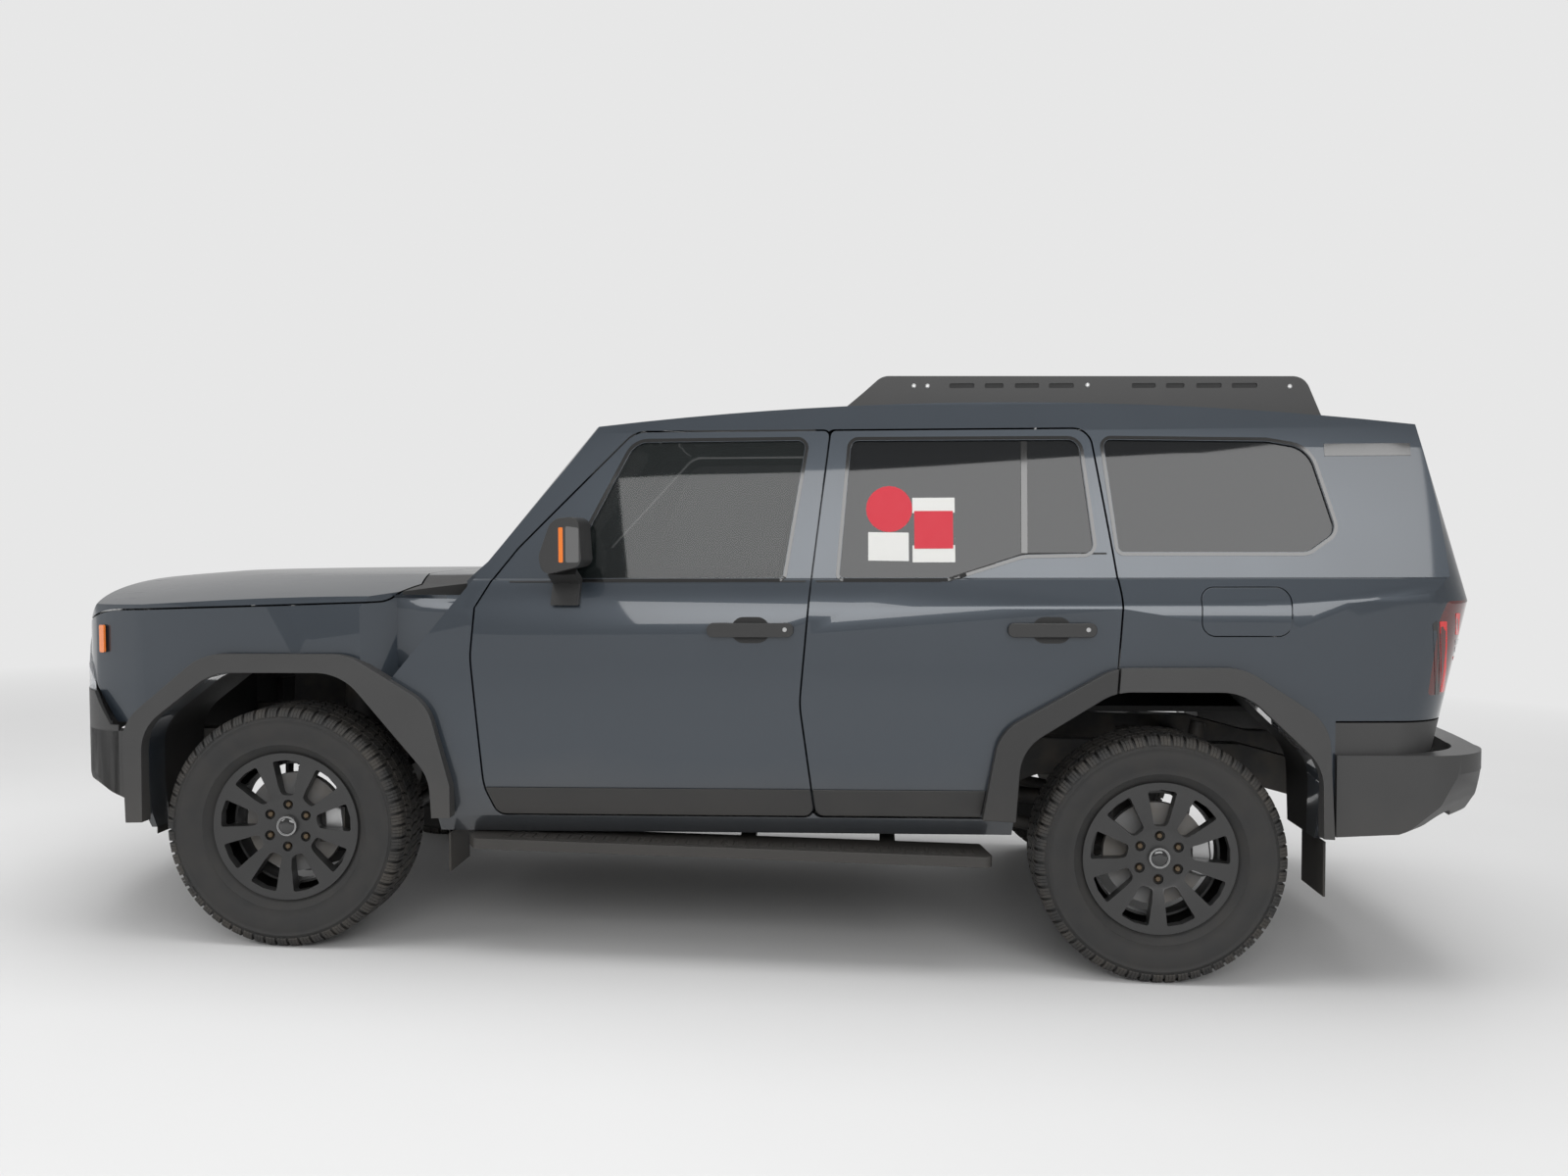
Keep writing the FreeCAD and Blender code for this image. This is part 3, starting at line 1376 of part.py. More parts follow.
def build_door_trims():
    """What each door carries outside: lower cladding, handle, and on the front doors the mirror."""
    wide = size("body_half_width")
    sill = size("door_bottom")
    reach = size("handle_reach")
    length = size("handle_length")
    tall = size("handle_height")
    height = crease - 70
    cladding_space = [(1000, sill - 40), (1000, sill + 89), (-1200, sill + 89), (-1200, sill - 40)]
    sheet_out = half_section(outer_levels(-7)).cut(half_section(outer_levels(-0.3)))
    cladding = sheet_out.common(side_prism(cladding_space, 800, 1100))
    front_space = side_prism(front_door_outline(), 300, 1100, -1)
    rear_points = rear_door_outline()
    for index, x in ((0, -254), (1, -205), (2, -242), (3, -303)):
        rear_points[index] = (x - gap, *rear_points[index][1:])
    rear_space = side_prism(rear_points, 300, 1100, -1)
    front_cladding = main_solids(cladding.common(front_space))
    rear_cladding = cladding.common(rear_space)
    handles = {}
    for name, x in (("front", -52), ("rear", -1007)):
        shape = side_prism(
            [
                (x - length / 2, height - tall / 2, 20),
                (x - length / 2, height + tall / 2, 20),
                (x + length / 2, height + tall / 2, 20),
                (x + length / 2, height - tall / 2, 20),
            ],
            wide - 5,
            wide + reach,
        ).cut(half_section(outer_levels(-0.3)))
        inner_grip = box(x - length / 2 + 35, x + length / 2 - 70, wide - 10, wide + reach - 14, 900, 1300)
        handles[name] = shape.cut(inner_grip)
    mirror_low = belt + 20
    arm = section_prism([(wide - 60, belt - 30), (wide - 60, belt + 2), (wide + 40, mirror_low + 20), (wide + 60, mirror_low)], 500, 590)
    head = side_prism(
        [(465, mirror_low + 30, 30), (475, mirror_low + size("mirror_height"), 30), (560, mirror_low + size("mirror_height") - 6, 50), (603, mirror_low + 60, 60), (590, mirror_low, 30)],
        wide - 50,
        size("mirror_reach"),
    )
    foot = half_section(outer_levels(-30)).cut(half_section(outer_levels(-0.3)))
    foot = foot.common(side_prism([(500, belt - 78), (500, belt - 10), (590, belt - 10), (590, belt - 78)], 800, 1100))
    mirror = joined([arm.cut(half_section(outer_levels(-0.3))), head, foot])
    front = Part.makeCompound([front_cladding, handles["front"], mirror])
    return front, rear_cladding, handles["rear"]


def build_steps():
    top = size("step_top")
    reach = size("step_reach")
    wide = size("step_width")
    points = [(front_axle - 620, reach - 60, 40), (front_axle - 650, reach, 30), (rear_axle + 530, reach, 30), (rear_axle + 560, reach - wide, 10), (front_axle - 620, reach - wide, 10)]
    board = plan_prism(points, top - size("step_thickness"), top)
    rail = size("rail_outer")
    shapes = [board]
    for x in (650, -20, -480):
        shapes.append(section_prism([(rail, 470), (rail, 510), (reach - wide + 30, top - 4), (reach - wide + 30, top - 30)], x - 25, x + 25))
    left = joined(shapes)
    add_shape("side_steps", both(left), level)


def build_rack():
    roof = size("roof_height")
    y = size("rack_rail_place")
    low = roof - 40
    lift = size("rack_lift")
    height = size("rack_rail_height")
    profile = [(-300, 1780), (-478, 1935, 60), (-1885, 1920, 60), (-1962, 1740)]
    arch = [(-470, 1800), (-500, 1862, 20), (-1070, 1870, 40), (-1100, 1800)]
    other_arch = [(-1160, 1800), (-1190, 1868, 40), (-1840, 1850, 20), (-1880, 1790)]
    half = size("rack_rail_width") / 2
    rail = side_prism(profile, y - half, y + half)
    rail = rail.cut(side_prism(arch, 0, 900)).cut(side_prism(other_arch, 0, 900))
    for start in (-545, -650, -755, -860, -1215, -1320, -1425, -1530):
        slot = side_prism([(start, 1880, 9), (start, 1898, 9), (start - 85, 1898, 9), (start - 85, 1880, 9)], 0, 900)
        rail = rail.cut(slot)
    bars = []
    count = int(size("rack_bar_count"))
    for index in range(count):
        x = -560 - index * (1250 / (count - 1))
        bars.append(box(x - 26, x + 26, -y, y, 1898, 1898 + size("rack_bar_height")))
    crown_length = size("roof_crown_length")
    top = roof + size("seat_gap")
    under = crowned(-800, top, crown_length, size("roof_crown_width"), -2600, 0)
    return rail.cut(under), bars


def gearbox_shape():
    """Gearbox and transfer case, whose bell meets the engine's back."""
    start = front_axle - 460
    gearbox = rod((start, 0, 485), (start - 500, 0, 478), size("gearbox_radius"))
    case = rod((start - 500, -40, 478), (start - 800, -40, 478), size("gearbox_radius") - 10)
    bell = box(start, start + 60, -90, 90, 460, engine_low)
    return joined([gearbox, case, bell])


def build_chassis_items(rear_beam):
    z = axle_height
    long = size("engine_length")
    start = front_axle - 460
    engine = box(start, start + long, -270, 270, engine_low, engine_low + size("engine_height"))
    add_shape("engine_block", engine, level)
    gearbox = gearbox_shape()
    add_shape("gearbox", gearbox, level)
    rear_shaft = rod((start - 770, -40, 478), (rear_axle + 60, 0, z), size("shaft_radius"))
    add_shape("drive_shafts", main_solids(rear_shaft.cut(gearbox).cut(rear_beam)), level)
    pipe = size("pipe_radius")
    route = [(start - 12, 300, 520), (start - 400, 300, pipe_level), (rear_axle + 620, 300, pipe_level)]
    pieces = [rod(route[0], route[1], pipe), Part.makeSphere(pipe, Vector(*route[1])), rod(route[1], route[2], pipe)]
    hanger = rod((-60, 300, pipe_level), (-60, 300, size("rail_bottom") + 75), 6)
    tank_low = size("rail_bottom") + 75 - size("tank_height")
    tank = box(-460, -460 + size("tank_length"), -345, -345 + size("tank_width"), tank_low, tank_low + size("tank_height"))
    add_shape("fuel_tank", tank, level)
    add_shape("exhaust", joined(pieces + [hanger]), level)


def build_cabin():
    floor = size("floor_height") + size("floor_thickness")
    wide = size("seat_width")
    shapes = []
    for sign in (1, -1):
        y = sign * size("seat_place")
        base = box(-150, 350, y - wide / 2 + 40, y + wide / 2 - 40, floor + 0.3, floor + 160)
        cushion = side_prism(
            [(-180, floor + 160), (-180, floor + 280, 40), (310, floor + 300, 60), (310, floor + 160, 40)],
            y - wide / 2, y + wide / 2)
        back = side_prism(
            [(-170, floor + 260, 40), (-30, floor + 260, 40), (-190, floor + 900, 50), (-320, floor + 900, 50)],
            y - wide / 2, y + wide / 2)
        head = side_prism(
            [(-320, floor + 900), (-200, floor + 900), (-230, floor + 1080, 40), (-340, floor + 1080, 40)],
            y - 140, y + 140)
        shapes += [base, cushion, back.cut(cushion), head]
    add_shape("front_seats", Part.makeCompound(shapes))
    wide = size("bench_width") / 2
    cushion = side_prism([(-960, floor + 0.3), (-960, floor + 300, 40), (-470, floor + 330, 60), (-470, floor + 0.3)], -wide, wide)
    back = side_prism([(-960, floor + 260, 40), (-850, floor + 260, 40), (-1000, floor + 880, 50), (-1110, floor + 880, 50)], -wide, wide)
    heads = []
    for y in (-430, 0, 430):
        heads.append(side_prism(
            [(-1105, floor + 880), (-1005, floor + 880), (-1030, floor + 1030, 40), (-1120, floor + 1030, 40)],
            y - 130, y + 130))
    load = size("load_floor_height")
    under = side_prism(
        [(rear_arch.x + 560, floor), (rear_arch.x + 500, load), (-2400, load), (-2400, 400), (rear_arch.x + 560, 400)],
        -1000, 1000)
    arches = both(side_prism(rear_opening_outline(rear_arch), 590, 1100, 8))
    cushion = cushion.cut(under).cut(arches)
    add_shape("rear_bench", Part.makeCompound([cushion, back.cut(under).cut(arches).cut(cushion)] + heads))
    half = size("body_half_width") - size("door_depth") - 72
    wall = size("firewall_place") - size("floor_thickness")
    dash = side_prism([(wall - 0.3, 900, 20), (wall - 0.3, belt - 75, 30), (700, belt - 40, 60), (540, belt - 110, 60), (600, 860, 60)], -half, half)
    add_shape("dashboard", dash)
    centre = Vector(420, size("seat_place"), 1160)
    tilt = FreeCAD.Rotation(Vector(0, 1, 0), -64)
    around = size("steering_wheel_radius")
    thick = size("steering_rim_radius")
    ring = [(around - thick, -6), (around - thick, 6), (around - 6, thick), (around + 6, thick), (around + thick, 6),
            (around + thick, -6), (around + 6, -thick), (around - 6, -thick)]
    rim = Part.Face(outline(ring, on_side(0))).revolve(Vector(0, 0, 0), Vector(0, 0, 1), 360)
    hub = Part.makeCylinder(60, 45, Vector(0, 0, -30))
    shapes = [rim, hub]
    for angle in (0, 120, 240):
        spoke = Part.makeBox(size("steering_wheel_radius") - 40, 36, 16, Vector(40, -18, -10))
        spoke.rotate(Vector(0, 0, 0), Vector(0, 0, 1), angle + 180)
        shapes.append(spoke)
    shapes.append(Part.makeCylinder(26, 300, Vector(0, 0, -290)))
    wheel = joined(shapes)
    wheel.Placement = FreeCAD.Placement(centre, tilt)
    column = wheel.cut(dash)
    add_shape("steering_wheel", main_solids(column))



def build_trims(outer):
    front_flare, rear_flare, door_part = build_flares(outer)
    door_space = side_prism(ahead_of_door_end(), 300, 1100, gap)
    add_shape("arch_flares", both(Part.makeCompound([front_flare, main_solids(rear_flare.cut(door_space))])))
    front_trim, rear_cladding, rear_handle = build_door_trims()
    rear_cladding = rear_cladding.cut(side_prism(rear_flare_outline(rear_arch), 900, 1100, 1))
    rear_trim = Part.makeCompound([main_solids(rear_cladding, 3000), door_part, rear_handle])
    for name, place in (("left", lambda shape: shape), ("right", mirrored)):
        add_shape(f"front_door_trim_{name}", place(front_trim))
        add_shape(f"rear_door_trim_{name}", place(rear_trim))


outer, posts, shell = build_body()
front_bumper = build_front_end(shell)
build_rear_bumper(shell)
build_chassis(front_bumper)
rear_beam = build_running_gear()
build_knuckle("left", 1)
build_knuckle("right", -1)
build_plain_inside(posts)
build_flaps_and_liners(shell)
build_trims(outer)
build_steps()
rail, bars = build_rack()
add_shape("roof_rack", joined([rail, mirrored(rail)] + bars))
build_chassis_items(rear_beam)
build_cabin()
build_wheels()

doc.recompute()
for item in doc.Objects:
    if "Invalid" in item.State or "Error" in item.State:
        raise RuntimeError(f"{item.Name} did not build: {item.State}")
for part in sub_parts:
    if part.Shape.isNull() or not part.Shape.isValid():
        raise RuntimeError(f"{part.Label} has no valid shape")
for part in sub_parts:
    part.Shape.exportStep(f"parts/{part.Label}.step")
print(len(sub_parts), "sub-parts written")
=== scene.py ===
import json
import math

import bmesh
import bpy
from mathutils import Matrix, Vector
from mathutils.bvhtree import BVHTree

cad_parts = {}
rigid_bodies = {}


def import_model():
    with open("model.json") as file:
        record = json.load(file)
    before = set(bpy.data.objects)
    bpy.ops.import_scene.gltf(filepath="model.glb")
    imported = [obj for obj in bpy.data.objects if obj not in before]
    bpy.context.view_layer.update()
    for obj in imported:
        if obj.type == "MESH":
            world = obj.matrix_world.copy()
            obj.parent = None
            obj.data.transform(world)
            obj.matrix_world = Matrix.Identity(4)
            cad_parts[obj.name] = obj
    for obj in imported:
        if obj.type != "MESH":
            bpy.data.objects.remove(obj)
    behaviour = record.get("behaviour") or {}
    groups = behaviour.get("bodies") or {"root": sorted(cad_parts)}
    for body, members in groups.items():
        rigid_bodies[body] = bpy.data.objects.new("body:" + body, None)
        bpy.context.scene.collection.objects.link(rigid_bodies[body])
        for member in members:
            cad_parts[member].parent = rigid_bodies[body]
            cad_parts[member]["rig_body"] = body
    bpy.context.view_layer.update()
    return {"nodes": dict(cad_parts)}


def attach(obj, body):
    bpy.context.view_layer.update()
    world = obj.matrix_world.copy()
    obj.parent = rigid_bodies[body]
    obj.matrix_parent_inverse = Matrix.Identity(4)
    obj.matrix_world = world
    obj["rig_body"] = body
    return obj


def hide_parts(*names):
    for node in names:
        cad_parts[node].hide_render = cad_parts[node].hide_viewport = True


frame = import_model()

scene = bpy.context.scene
cadNodes = frame["nodes"]

# the stance of the standing car, in metres
stance = {
    "rake": math.radians(1.55),
    "frontAxle": 1.505,
    "rearAxle": -1.345,
    "axleHeight": 0.398,
    "wheelPlace": 0.832,
}
rakeCos = math.cos(stance["rake"])
rakeSin = math.sin(stance["rake"])


def raked(x, y, z):
    # the body's own drawing in millimetres, to the standing car in metres
    return Vector(((x * rakeCos + z * rakeSin) / 1000, y / 1000, (z * rakeCos - x * rakeSin) / 1000))


def bodyHeight(point):
    return point.x * rakeSin + point.z * rakeCos


def bodyLength(point):
    return point.x * rakeCos - point.z * rakeSin


class Wire:
    # one output socket; its arithmetic adds Math nodes

    def __init__(self, sheet, socket):
        self.sheet = sheet
        self.socket = socket

    def maths(self, operation, other, turned=False):
        pair = (other, self) if turned else (self, other)
        return self.sheet.add("ShaderNodeMath", {"operation": operation}, {0: pair[0], 1: pair[1]})

    def __add__(self, other):
        return self.maths("ADD", other)

    def __radd__(self, other):
        return self.maths("ADD", other, True)

    def __sub__(self, other):
        return self.maths("SUBTRACT", other)

    def __rsub__(self, other):
        return self.maths("SUBTRACT", other, True)

    def __mul__(self, other):
        return self.maths("MULTIPLY", other)

    def __rmul__(self, other):
        return self.maths("MULTIPLY", other, True)

    def __truediv__(self, other):
        return self.maths("DIVIDE", other)


class Sheet:
    # one node tree under construction: a new material's, unless another tree is given

    def __init__(self, name, tree=None):
        self.tree = tree
        if tree is None:
            self.material = bpy.data.materials.new(name)
            self.material.use_nodes = True
            self.tree = self.material.node_tree
            self.tree.nodes.clear()
            self.place = self.add("ShaderNodeTexCoord", out="Object")

    def add(self, kind, settings=None, values=None, out=0):
        node = self.tree.nodes.new(kind)
        for key, value in (settings or {}).items():
            if key == "stops":
                while len(node.color_ramp.elements) < len(value):
                    node.color_ramp.elements.new(0.5)
                for element, (where, level) in zip(node.color_ramp.elements, value):
                    element.position = where
                    element.color = (level, level, level, 1)
            else:
                setattr(node, key, value)
        for key, value in (values or {}).items():
            socket = node.inputs[key]
            if isinstance(value, Wire):
                self.tree.links.new(value.socket, socket)
            else:
                socket.default_value = value
        return Wire(self, node.outputs[out]) if node.outputs else None

    def noise(self, scale, detail=2.0):
        return self.add("ShaderNodeTexNoise", None, {"Vector": self.place, "Scale": scale, "Detail": detail})

    def ramp(self, wire, stops):
        return self.add("ShaderNodeValToRGB", {"stops": stops}, {0: wire})

    def blend(self, share, first, second):
        return self.add("ShaderNodeMix", {"data_type": "RGBA"}, {0: share, 6: first, 7: second}, 2)

    def height(self):
        return self.add("ShaderNodeSeparateXYZ", None, {0: self.place}, "Z")

    def bump(self, wire, depth, strength=1.0):
        return self.add(
            "ShaderNodeBump", None, {"Strength": strength, "Distance": depth, "Height": wire}, "Normal"
        )

    def finish(self, values):
        shader = self.add("ShaderNodeBsdfPrincipled", None, values)
        self.add("ShaderNodeOutputMaterial", None, {"Surface": shader})
        return self.material


def grey(level, warm=0.0):
    return (level * (1 + warm), level, level * (1 - warm), 1)


dustColour = (0.20, 0.165, 0.125, 1)


def paintFinish():
    tones = {"colour": (0.036, 0.047, 0.060, 1), "deep": (0.028, 0.037, 0.049, 1)}
    sheet = Sheet("slatePaint")
    flakes = sheet.noise(2600, 1.0)
    cloud = sheet.noise(3.0, 3.0)
    low = sheet.ramp(1.15 - sheet.height() * 1.35 + cloud * 0.25, [(0.35, 0), (0.75, 1)])
    colour = sheet.blend(flakes, tones["deep"], tones["colour"])
    colour = sheet.blend(low * 0.16, colour, dustColour)
    return sheet.finish({
        "Base Color": colour,
        "Metallic": 0.35 + flakes * 0.25,
        "Roughness": 0.27 + cloud * 0.10,
        "Coat Weight": 1.0,
        "Coat Roughness": 0.03,
    })


def plasticFinish(name, level, rough, grain=1400, depth=0.00012, dust=0.10):
    sheet = Sheet(name)
    grains = sheet.noise(grain, 2.0)
    cloud = sheet.noise(5.0, 3.0)
    colour = sheet.blend(cloud, grey(level * 0.88), grey(level * 1.1))
    low = sheet.ramp(1.0 - sheet.height() * 1.3 + cloud * 0.3, [(0.3, 0), (0.8, 1)])
    colour = sheet.blend(low * dust, colour, dustColour)
    return sheet.finish({
        "Base Color": colour,
        "Roughness": rough - 0.06 + cloud * 0.12,
        "Normal": sheet.bump(grains, depth),
    })


def satinFinish(name, level, rough, metal=0.0, coat=0.0, warm=0.0):
    sheet = Sheet(name)
    cloud = sheet.noise(8.0, 3.0)
    fine = sheet.noise(900, 1.0)
    colour = sheet.blend(cloud, grey(level * 0.92, warm), grey(level * 1.06, warm))
    return sheet.finish({
        "Base Color": colour,
        "Metallic": metal,
        "Roughness": rough - 0.03 + fine * 0.06,
        "Coat Weight": coat,
        "Coat Roughness": 0.04,
    })


def glassFinish(name, colour, alpha):
    sheet = Sheet(name)
    cloud = sheet.noise(6.0, 3.0)
    return sheet.finish({
        "Base Color": colour,
        "Roughness": 0.01 + cloud * 0.03,
        "IOR": 1.5,
        "Alpha": alpha,
    })


def lensFinish(name, colour, alpha, rough=0.05):
    sheet = Sheet(name)
    cloud = sheet.noise(40.0, 1.0)
    return sheet.finish({
        "Base Color": colour,
        "Roughness": rough + cloud * 0.02,
        "Coat Weight": 1.0,
        "Coat Roughness": 0.02,
        "Alpha": alpha,
    })


def cardFinish(name, colour):
    sheet = Sheet(name)
    cloud = sheet.noise(30.0, 1.0)
    return sheet.finish({"Base Color": colour, "Roughness": 0.5 + cloud * 0.1})


def rubberFinish(name, level, dust):
    sheet = Sheet(name)
    cloud = sheet.noise(14.0, 4.0)
    fine = sheet.noise(700, 2.0)
    colour = sheet.blend(cloud, grey(level * 0.85), grey(level * 1.15))
    colour = sheet.blend(sheet.ramp(cloud, [(0.35, 0), (0.7, 1)]) * dust, colour, dustColour)
    return sheet.finish({
        "Base Color": colour,
        "Roughness": 0.62 + cloud * 0.2,
        "Normal": sheet.bump(fine, 0.0001),
    })


def fabricFinish(name, colour, deep):
    sheet = Sheet(name)
    wave = sheet.add(
        "ShaderNodeTexWave",
        {"bands_direction": "Z"},
        {"Vector": sheet.place, "Scale": 160.0, "Distortion": 1.5},
    )
    fine = sheet.noise(1200, 2.0)
    return sheet.finish({
        "Base Color": sheet.blend(fine, deep, colour),
        "Roughness": 0.8 + fine * 0.15,
        "Normal": sheet.bump(wave * 0.5 + fine, 0.0004),
    })


def steelFinish(name, level, dust):
    sheet = Sheet(name)
    cloud = sheet.noise(9.0, 4.0)
    fine = sheet.noise(400, 2.0)
    colour = sheet.blend(sheet.ramp(cloud, [(0.4, 0), (0.75, 1)]) * dust, grey(level), dustColour)
    return sheet.finish({
        "Base Color": colour,
        "Metallic": 0.2,
        "Roughness": 0.45 + cloud * 0.3,
        "Normal": sheet.bump(fine, 0.0002),
    })


skins = {
    "paint": paintFinish(),
    "plastic": plasticFinish("grainedPlastic", 0.040, 0.5),
    "cladding": plasticFinish("darkCladding", 0.022, 0.5),
    "frames": satinFinish("frameGrey", 0.115, 0.38, 0.1),
    "gloss": satinFinish("glossBlack", 0.006, 0.08, 0.0, 1.0),
    "matteBlack": plasticFinish("matteBlack", 0.012, 0.6),
    # the window glass is darker and more opaque than real glass: partly its own tint, partly painted shade of
    # the cabin behind it
    "glassFront": glassFinish("clearTintCabinShade", (0.010, 0.013, 0.013, 1), 0.72),
    "glassRear": glassFinish("privacyTintCabinShade", (0.006, 0.007, 0.008, 1), 0.96),
    "lens": lensFinish("clearLens", (0.55, 0.57, 0.60, 1), 0.6),
    "red": lensFinish("redLens", (0.62, 0.012, 0.014, 1), 1.0),
    "amber": lensFinish("amberLens", (0.75, 0.18, 0.02, 1), 1.0),
    "tyre": rubberFinish("tyreRubber", 0.020, 0.04),
    "tread": rubberFinish("treadRubber", 0.022, 0.16),
    "wheel": satinFinish("wheelSatin", 0.055, 0.36, 0.55),
    # light bright metal: the hub ring's finish, and on the wheel's bevelled edges a painted highlight
    "bright": satinFinish("brightRingAndEdgeHighlight", 0.30, 0.25, 0.9),
    "chassis": steelFinish("chassisSteel", 0.03, 0.3),
    "disc": steelFinish("brakeDisc", 0.22, 0.6),
    "silver": satinFinish("silverMetal", 0.45, 0.35, 0.8),
    "rack": plasticFinish("rackCoat", 0.010, 0.45, 900, 0.0002, 0.0),
    "cloth": fabricFinish("seatCloth", (0.06, 0.06, 0.065, 1), (0.02, 0.02, 0.022, 1)),
    "inside": plasticFinish("innerTrim", 0.02, 0.7, 1100, 0.0001, 0.0),
    "white": cardFinish("whiteCard", (0.62, 0.62, 0.60, 1)),
    "redCard": cardFinish("redCard", (0.52, 0.012, 0.03, 1)),
    "bronze": satinFinish("nutBronze", 0.09, 0.35, 0.8, 0.0, 0.35),
    "rail": satinFinish("railCoat", 0.040, 0.45, 0.2),
    "darkRed": lensFinish("darkRedLens", (0.075, 0.006, 0.005, 1), 1.0),
}
print("materials ready")


def link(obj):
    scene.collection.objects.link(obj)
    return obj


def cleanMesh(name, points, faces):
    mesh = bpy.data.meshes.new(name)
    mesh.from_pydata(points, [], faces)
    return mesh


def soften(mesh, angle):
    mesh.shade_smooth()
    mesh.set_sharp_from_angle(angle=math.radians(angle))


def rounded(corners, steps=6):
    # a closed outline whose corners may carry a radius, as plain points
    points = []
    for index, corner in enumerate(corners):
        here = Vector(corner[:2])
        if len(corner) < 3:
            points.append(here)
            continue
        back = (Vector(corners[index - 1][:2]) - here).normalized()
        ahead = (Vector(corners[(index + 1) % len(corners)][:2]) - here).normalized()
        half = back.angle(ahead) / 2
        centre = here + (back + ahead).normalized() * (corner[2] / math.sin(half))
        first = here + back * (corner[2] / math.tan(half)) - centre
        last = here + ahead * (corner[2] / math.tan(half)) - centre
        sweep = math.pi - 2 * half
        for step in range(steps + 1):
            share = step / steps
            mixed = first * math.sin((1 - share) * sweep) + last * math.sin(share * sweep)
            points.append(centre + mixed / math.sin(sweep))
    return points


def bowed(first, middle, last, steps=12):
    # points on a parabola through three points
    first, middle, last = Vector(first), Vector(middle), Vector(last)
    pull = middle * 2 - (first + last) / 2
    places = [step / steps for step in range(steps + 1)]
    return [first * (1 - t) ** 2 + pull * 2 * t * (1 - t) + last * t * t for t in places]


def prism(points, plane, low, high, turn=0.0):
    # a straight-sided solid over an outline of the body's own drawing, in millimetres
    turned = Matrix.Rotation(turn, 3, "Z")
    corners = []
    for level in (low, high):
        for a, b in points:
            place = {"side": (a, level, b), "plan": (a, b, level), "end": (level, a, b)}[plane]
            corners.append(raked(*(turned @ Vector(place))))
    count = len(points)
    faces = [tuple(range(count)), tuple(range(2 * count - 1, count - 1, -1))]
    faces += [(i, (i + 1) % count, count + (i + 1) % count, count + i) for i in range(count)]
    mesh = cleanMesh("tool", corners, faces)
    outward(mesh)
    return mesh


def outward(mesh):
    bm = bmesh.new()
    bm.from_mesh(mesh)
    bmesh.ops.recalc_face_normals(bm, faces=bm.faces)
    bm.to_mesh(mesh)
    bm.free()


def settled(piece):
    # the piece's mesh with its modifiers worked in
    graph = bpy.context.evaluated_depsgraph_get()
    return bpy.data.meshes.new_from_object(piece.evaluated_get(graph))


def carved(mesh, tools):
    # the mesh after each tool is taken away from it, or kept of it
    work = link(bpy.data.objects.new("work", mesh))
    helpers = []
    for tool, operation in tools:
        helper = link(bpy.data.objects.new("tool", tool))
        helpers.append(helper)
        cut = work.modifiers.new("cut", "BOOLEAN")
        cut.operation = operation
        cut.solver = "EXACT"
        cut.object = helper
    result = settled(work)
    for item in [work, *helpers]:
        bpy.data.objects.remove(item)
    return result


mending = {"merge": 3e-5, "degenerate": 1e-5, "flat": math.radians(0.4), "sharp": 32}


def mergedCopy(node):
    # a CAD node's mesh with its doubled points merged and its flat faces whole
    source = cadNodes[node].data
    mesh = cleanMesh(
        node + "_skin", [v.co[:] for v in source.vertices], [tuple(p.vertices) for p in source.polygons]
    )
    bm = bmesh.new()
    bm.from_mesh(mesh)
    bmesh.ops.remove_doubles(bm, verts=bm.verts, dist=mending["merge"])
    bmesh.ops.dissolve_degenerate(bm, edges=bm.edges, dist=mending["degenerate"])
    bmesh.ops.dissolve_limit(bm, angle_limit=mending["flat"], verts=bm.verts, edges=bm.edges)
    bm.to_mesh(mesh)
    bm.free()
    return mesh


def islands(bm):
    # the groups of points that hang together, in the mesh's own order
    seen = set()
    groups = []
    for first in bm.verts:
        if first in seen:
            continue
        seen.add(first)
        group = [first]
        for vert in group:
            for edge in vert.link_edges:
                other = edge.other_vert(vert)
                if other not in seen:
                    seen.add(other)
                    group.append(other)
        groups.append(group)
    return groups


def middleOf(points):
    total = Vector()
    for point in points:
        total += point.co
    return total / len(points)


def placed(name, mesh, body, finishes=None):
    # a new piece that rides on a body
    for finish in finishes or ():
        mesh.materials.append(skins[finish])
    piece = link(bpy.data.objects.new(name, mesh))
    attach(piece, body)
    return piece


def bevelled(piece, width, sharp=mending["sharp"], edgeSkin=-1):
    bevel = piece.modifiers.new("edges", "BEVEL")
    bevel.width = width
    bevel.segments = 2
    bevel.limit_method = "ANGLE"
    bevel.angle_limit = math.radians(sharp)
    bevel.harden_normals = True
    bevel.use_clamp_overlap = True
    bevel.material = edgeSkin


def dressed(node, finishes, edge=0.0, pick=None, planes=(), tools=()):
    # a softened copy of a CAD node in its own finishes
    mesh = mergedCopy(node)
    if tools:
        mesh = carved(mesh, tools)
    bm = bmesh.new()
    bm.from_mesh(mesh)
    for spot, across in planes:
        everything = [*bm.verts, *bm.edges, *bm.faces]
        bmesh.ops.bisect_plane(
            bm, geom=everything, plane_co=spot, plane_no=across, dist=mending["degenerate"]
        )
    if pick:
        for face in bm.faces:
            face.material_index = pick(face.calc_center_median(), face.normal)
    bm.to_mesh(mesh)
    bm.free()
    mesh.materials.clear()
    for finish in finishes:
        mesh.materials.append(skins[finish])
    if pick is None:
        mesh.polygons.foreach_set("material_index", [0] * len(mesh.polygons))
    soften(mesh, mending["sharp"])
    piece = placed(node + "_skin", mesh, cadNodes[node]["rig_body"])
    if edge:
        bevelled(piece, edge)
    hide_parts(node)
    return piece


def levelPlane(height):
    return raked(0, 0, height), (raked(0, 0, 1) - raked(0, 0, 0)).normalized()


def linePlane(first, second):
    # the plane across the car through two points of the side view
    along = raked(second[0], 0, second[1]) - raked(first[0], 0, first[1])
    return raked(first[0], 0, first[1]), along.cross(Vector((0, 1, 0))).normalized()


# the painted door's upper edge in the side view, in millimetres: it rises behind the middle post
belt = {"low": 1251, "high": 1338, "start": -665, "end": -936}
beltPlanes = [
    levelPlane(belt["low"]),
    levelPlane(belt["high"]),
    linePlane((belt["start"], belt["low"]), (belt["end"], belt["high"])),
]


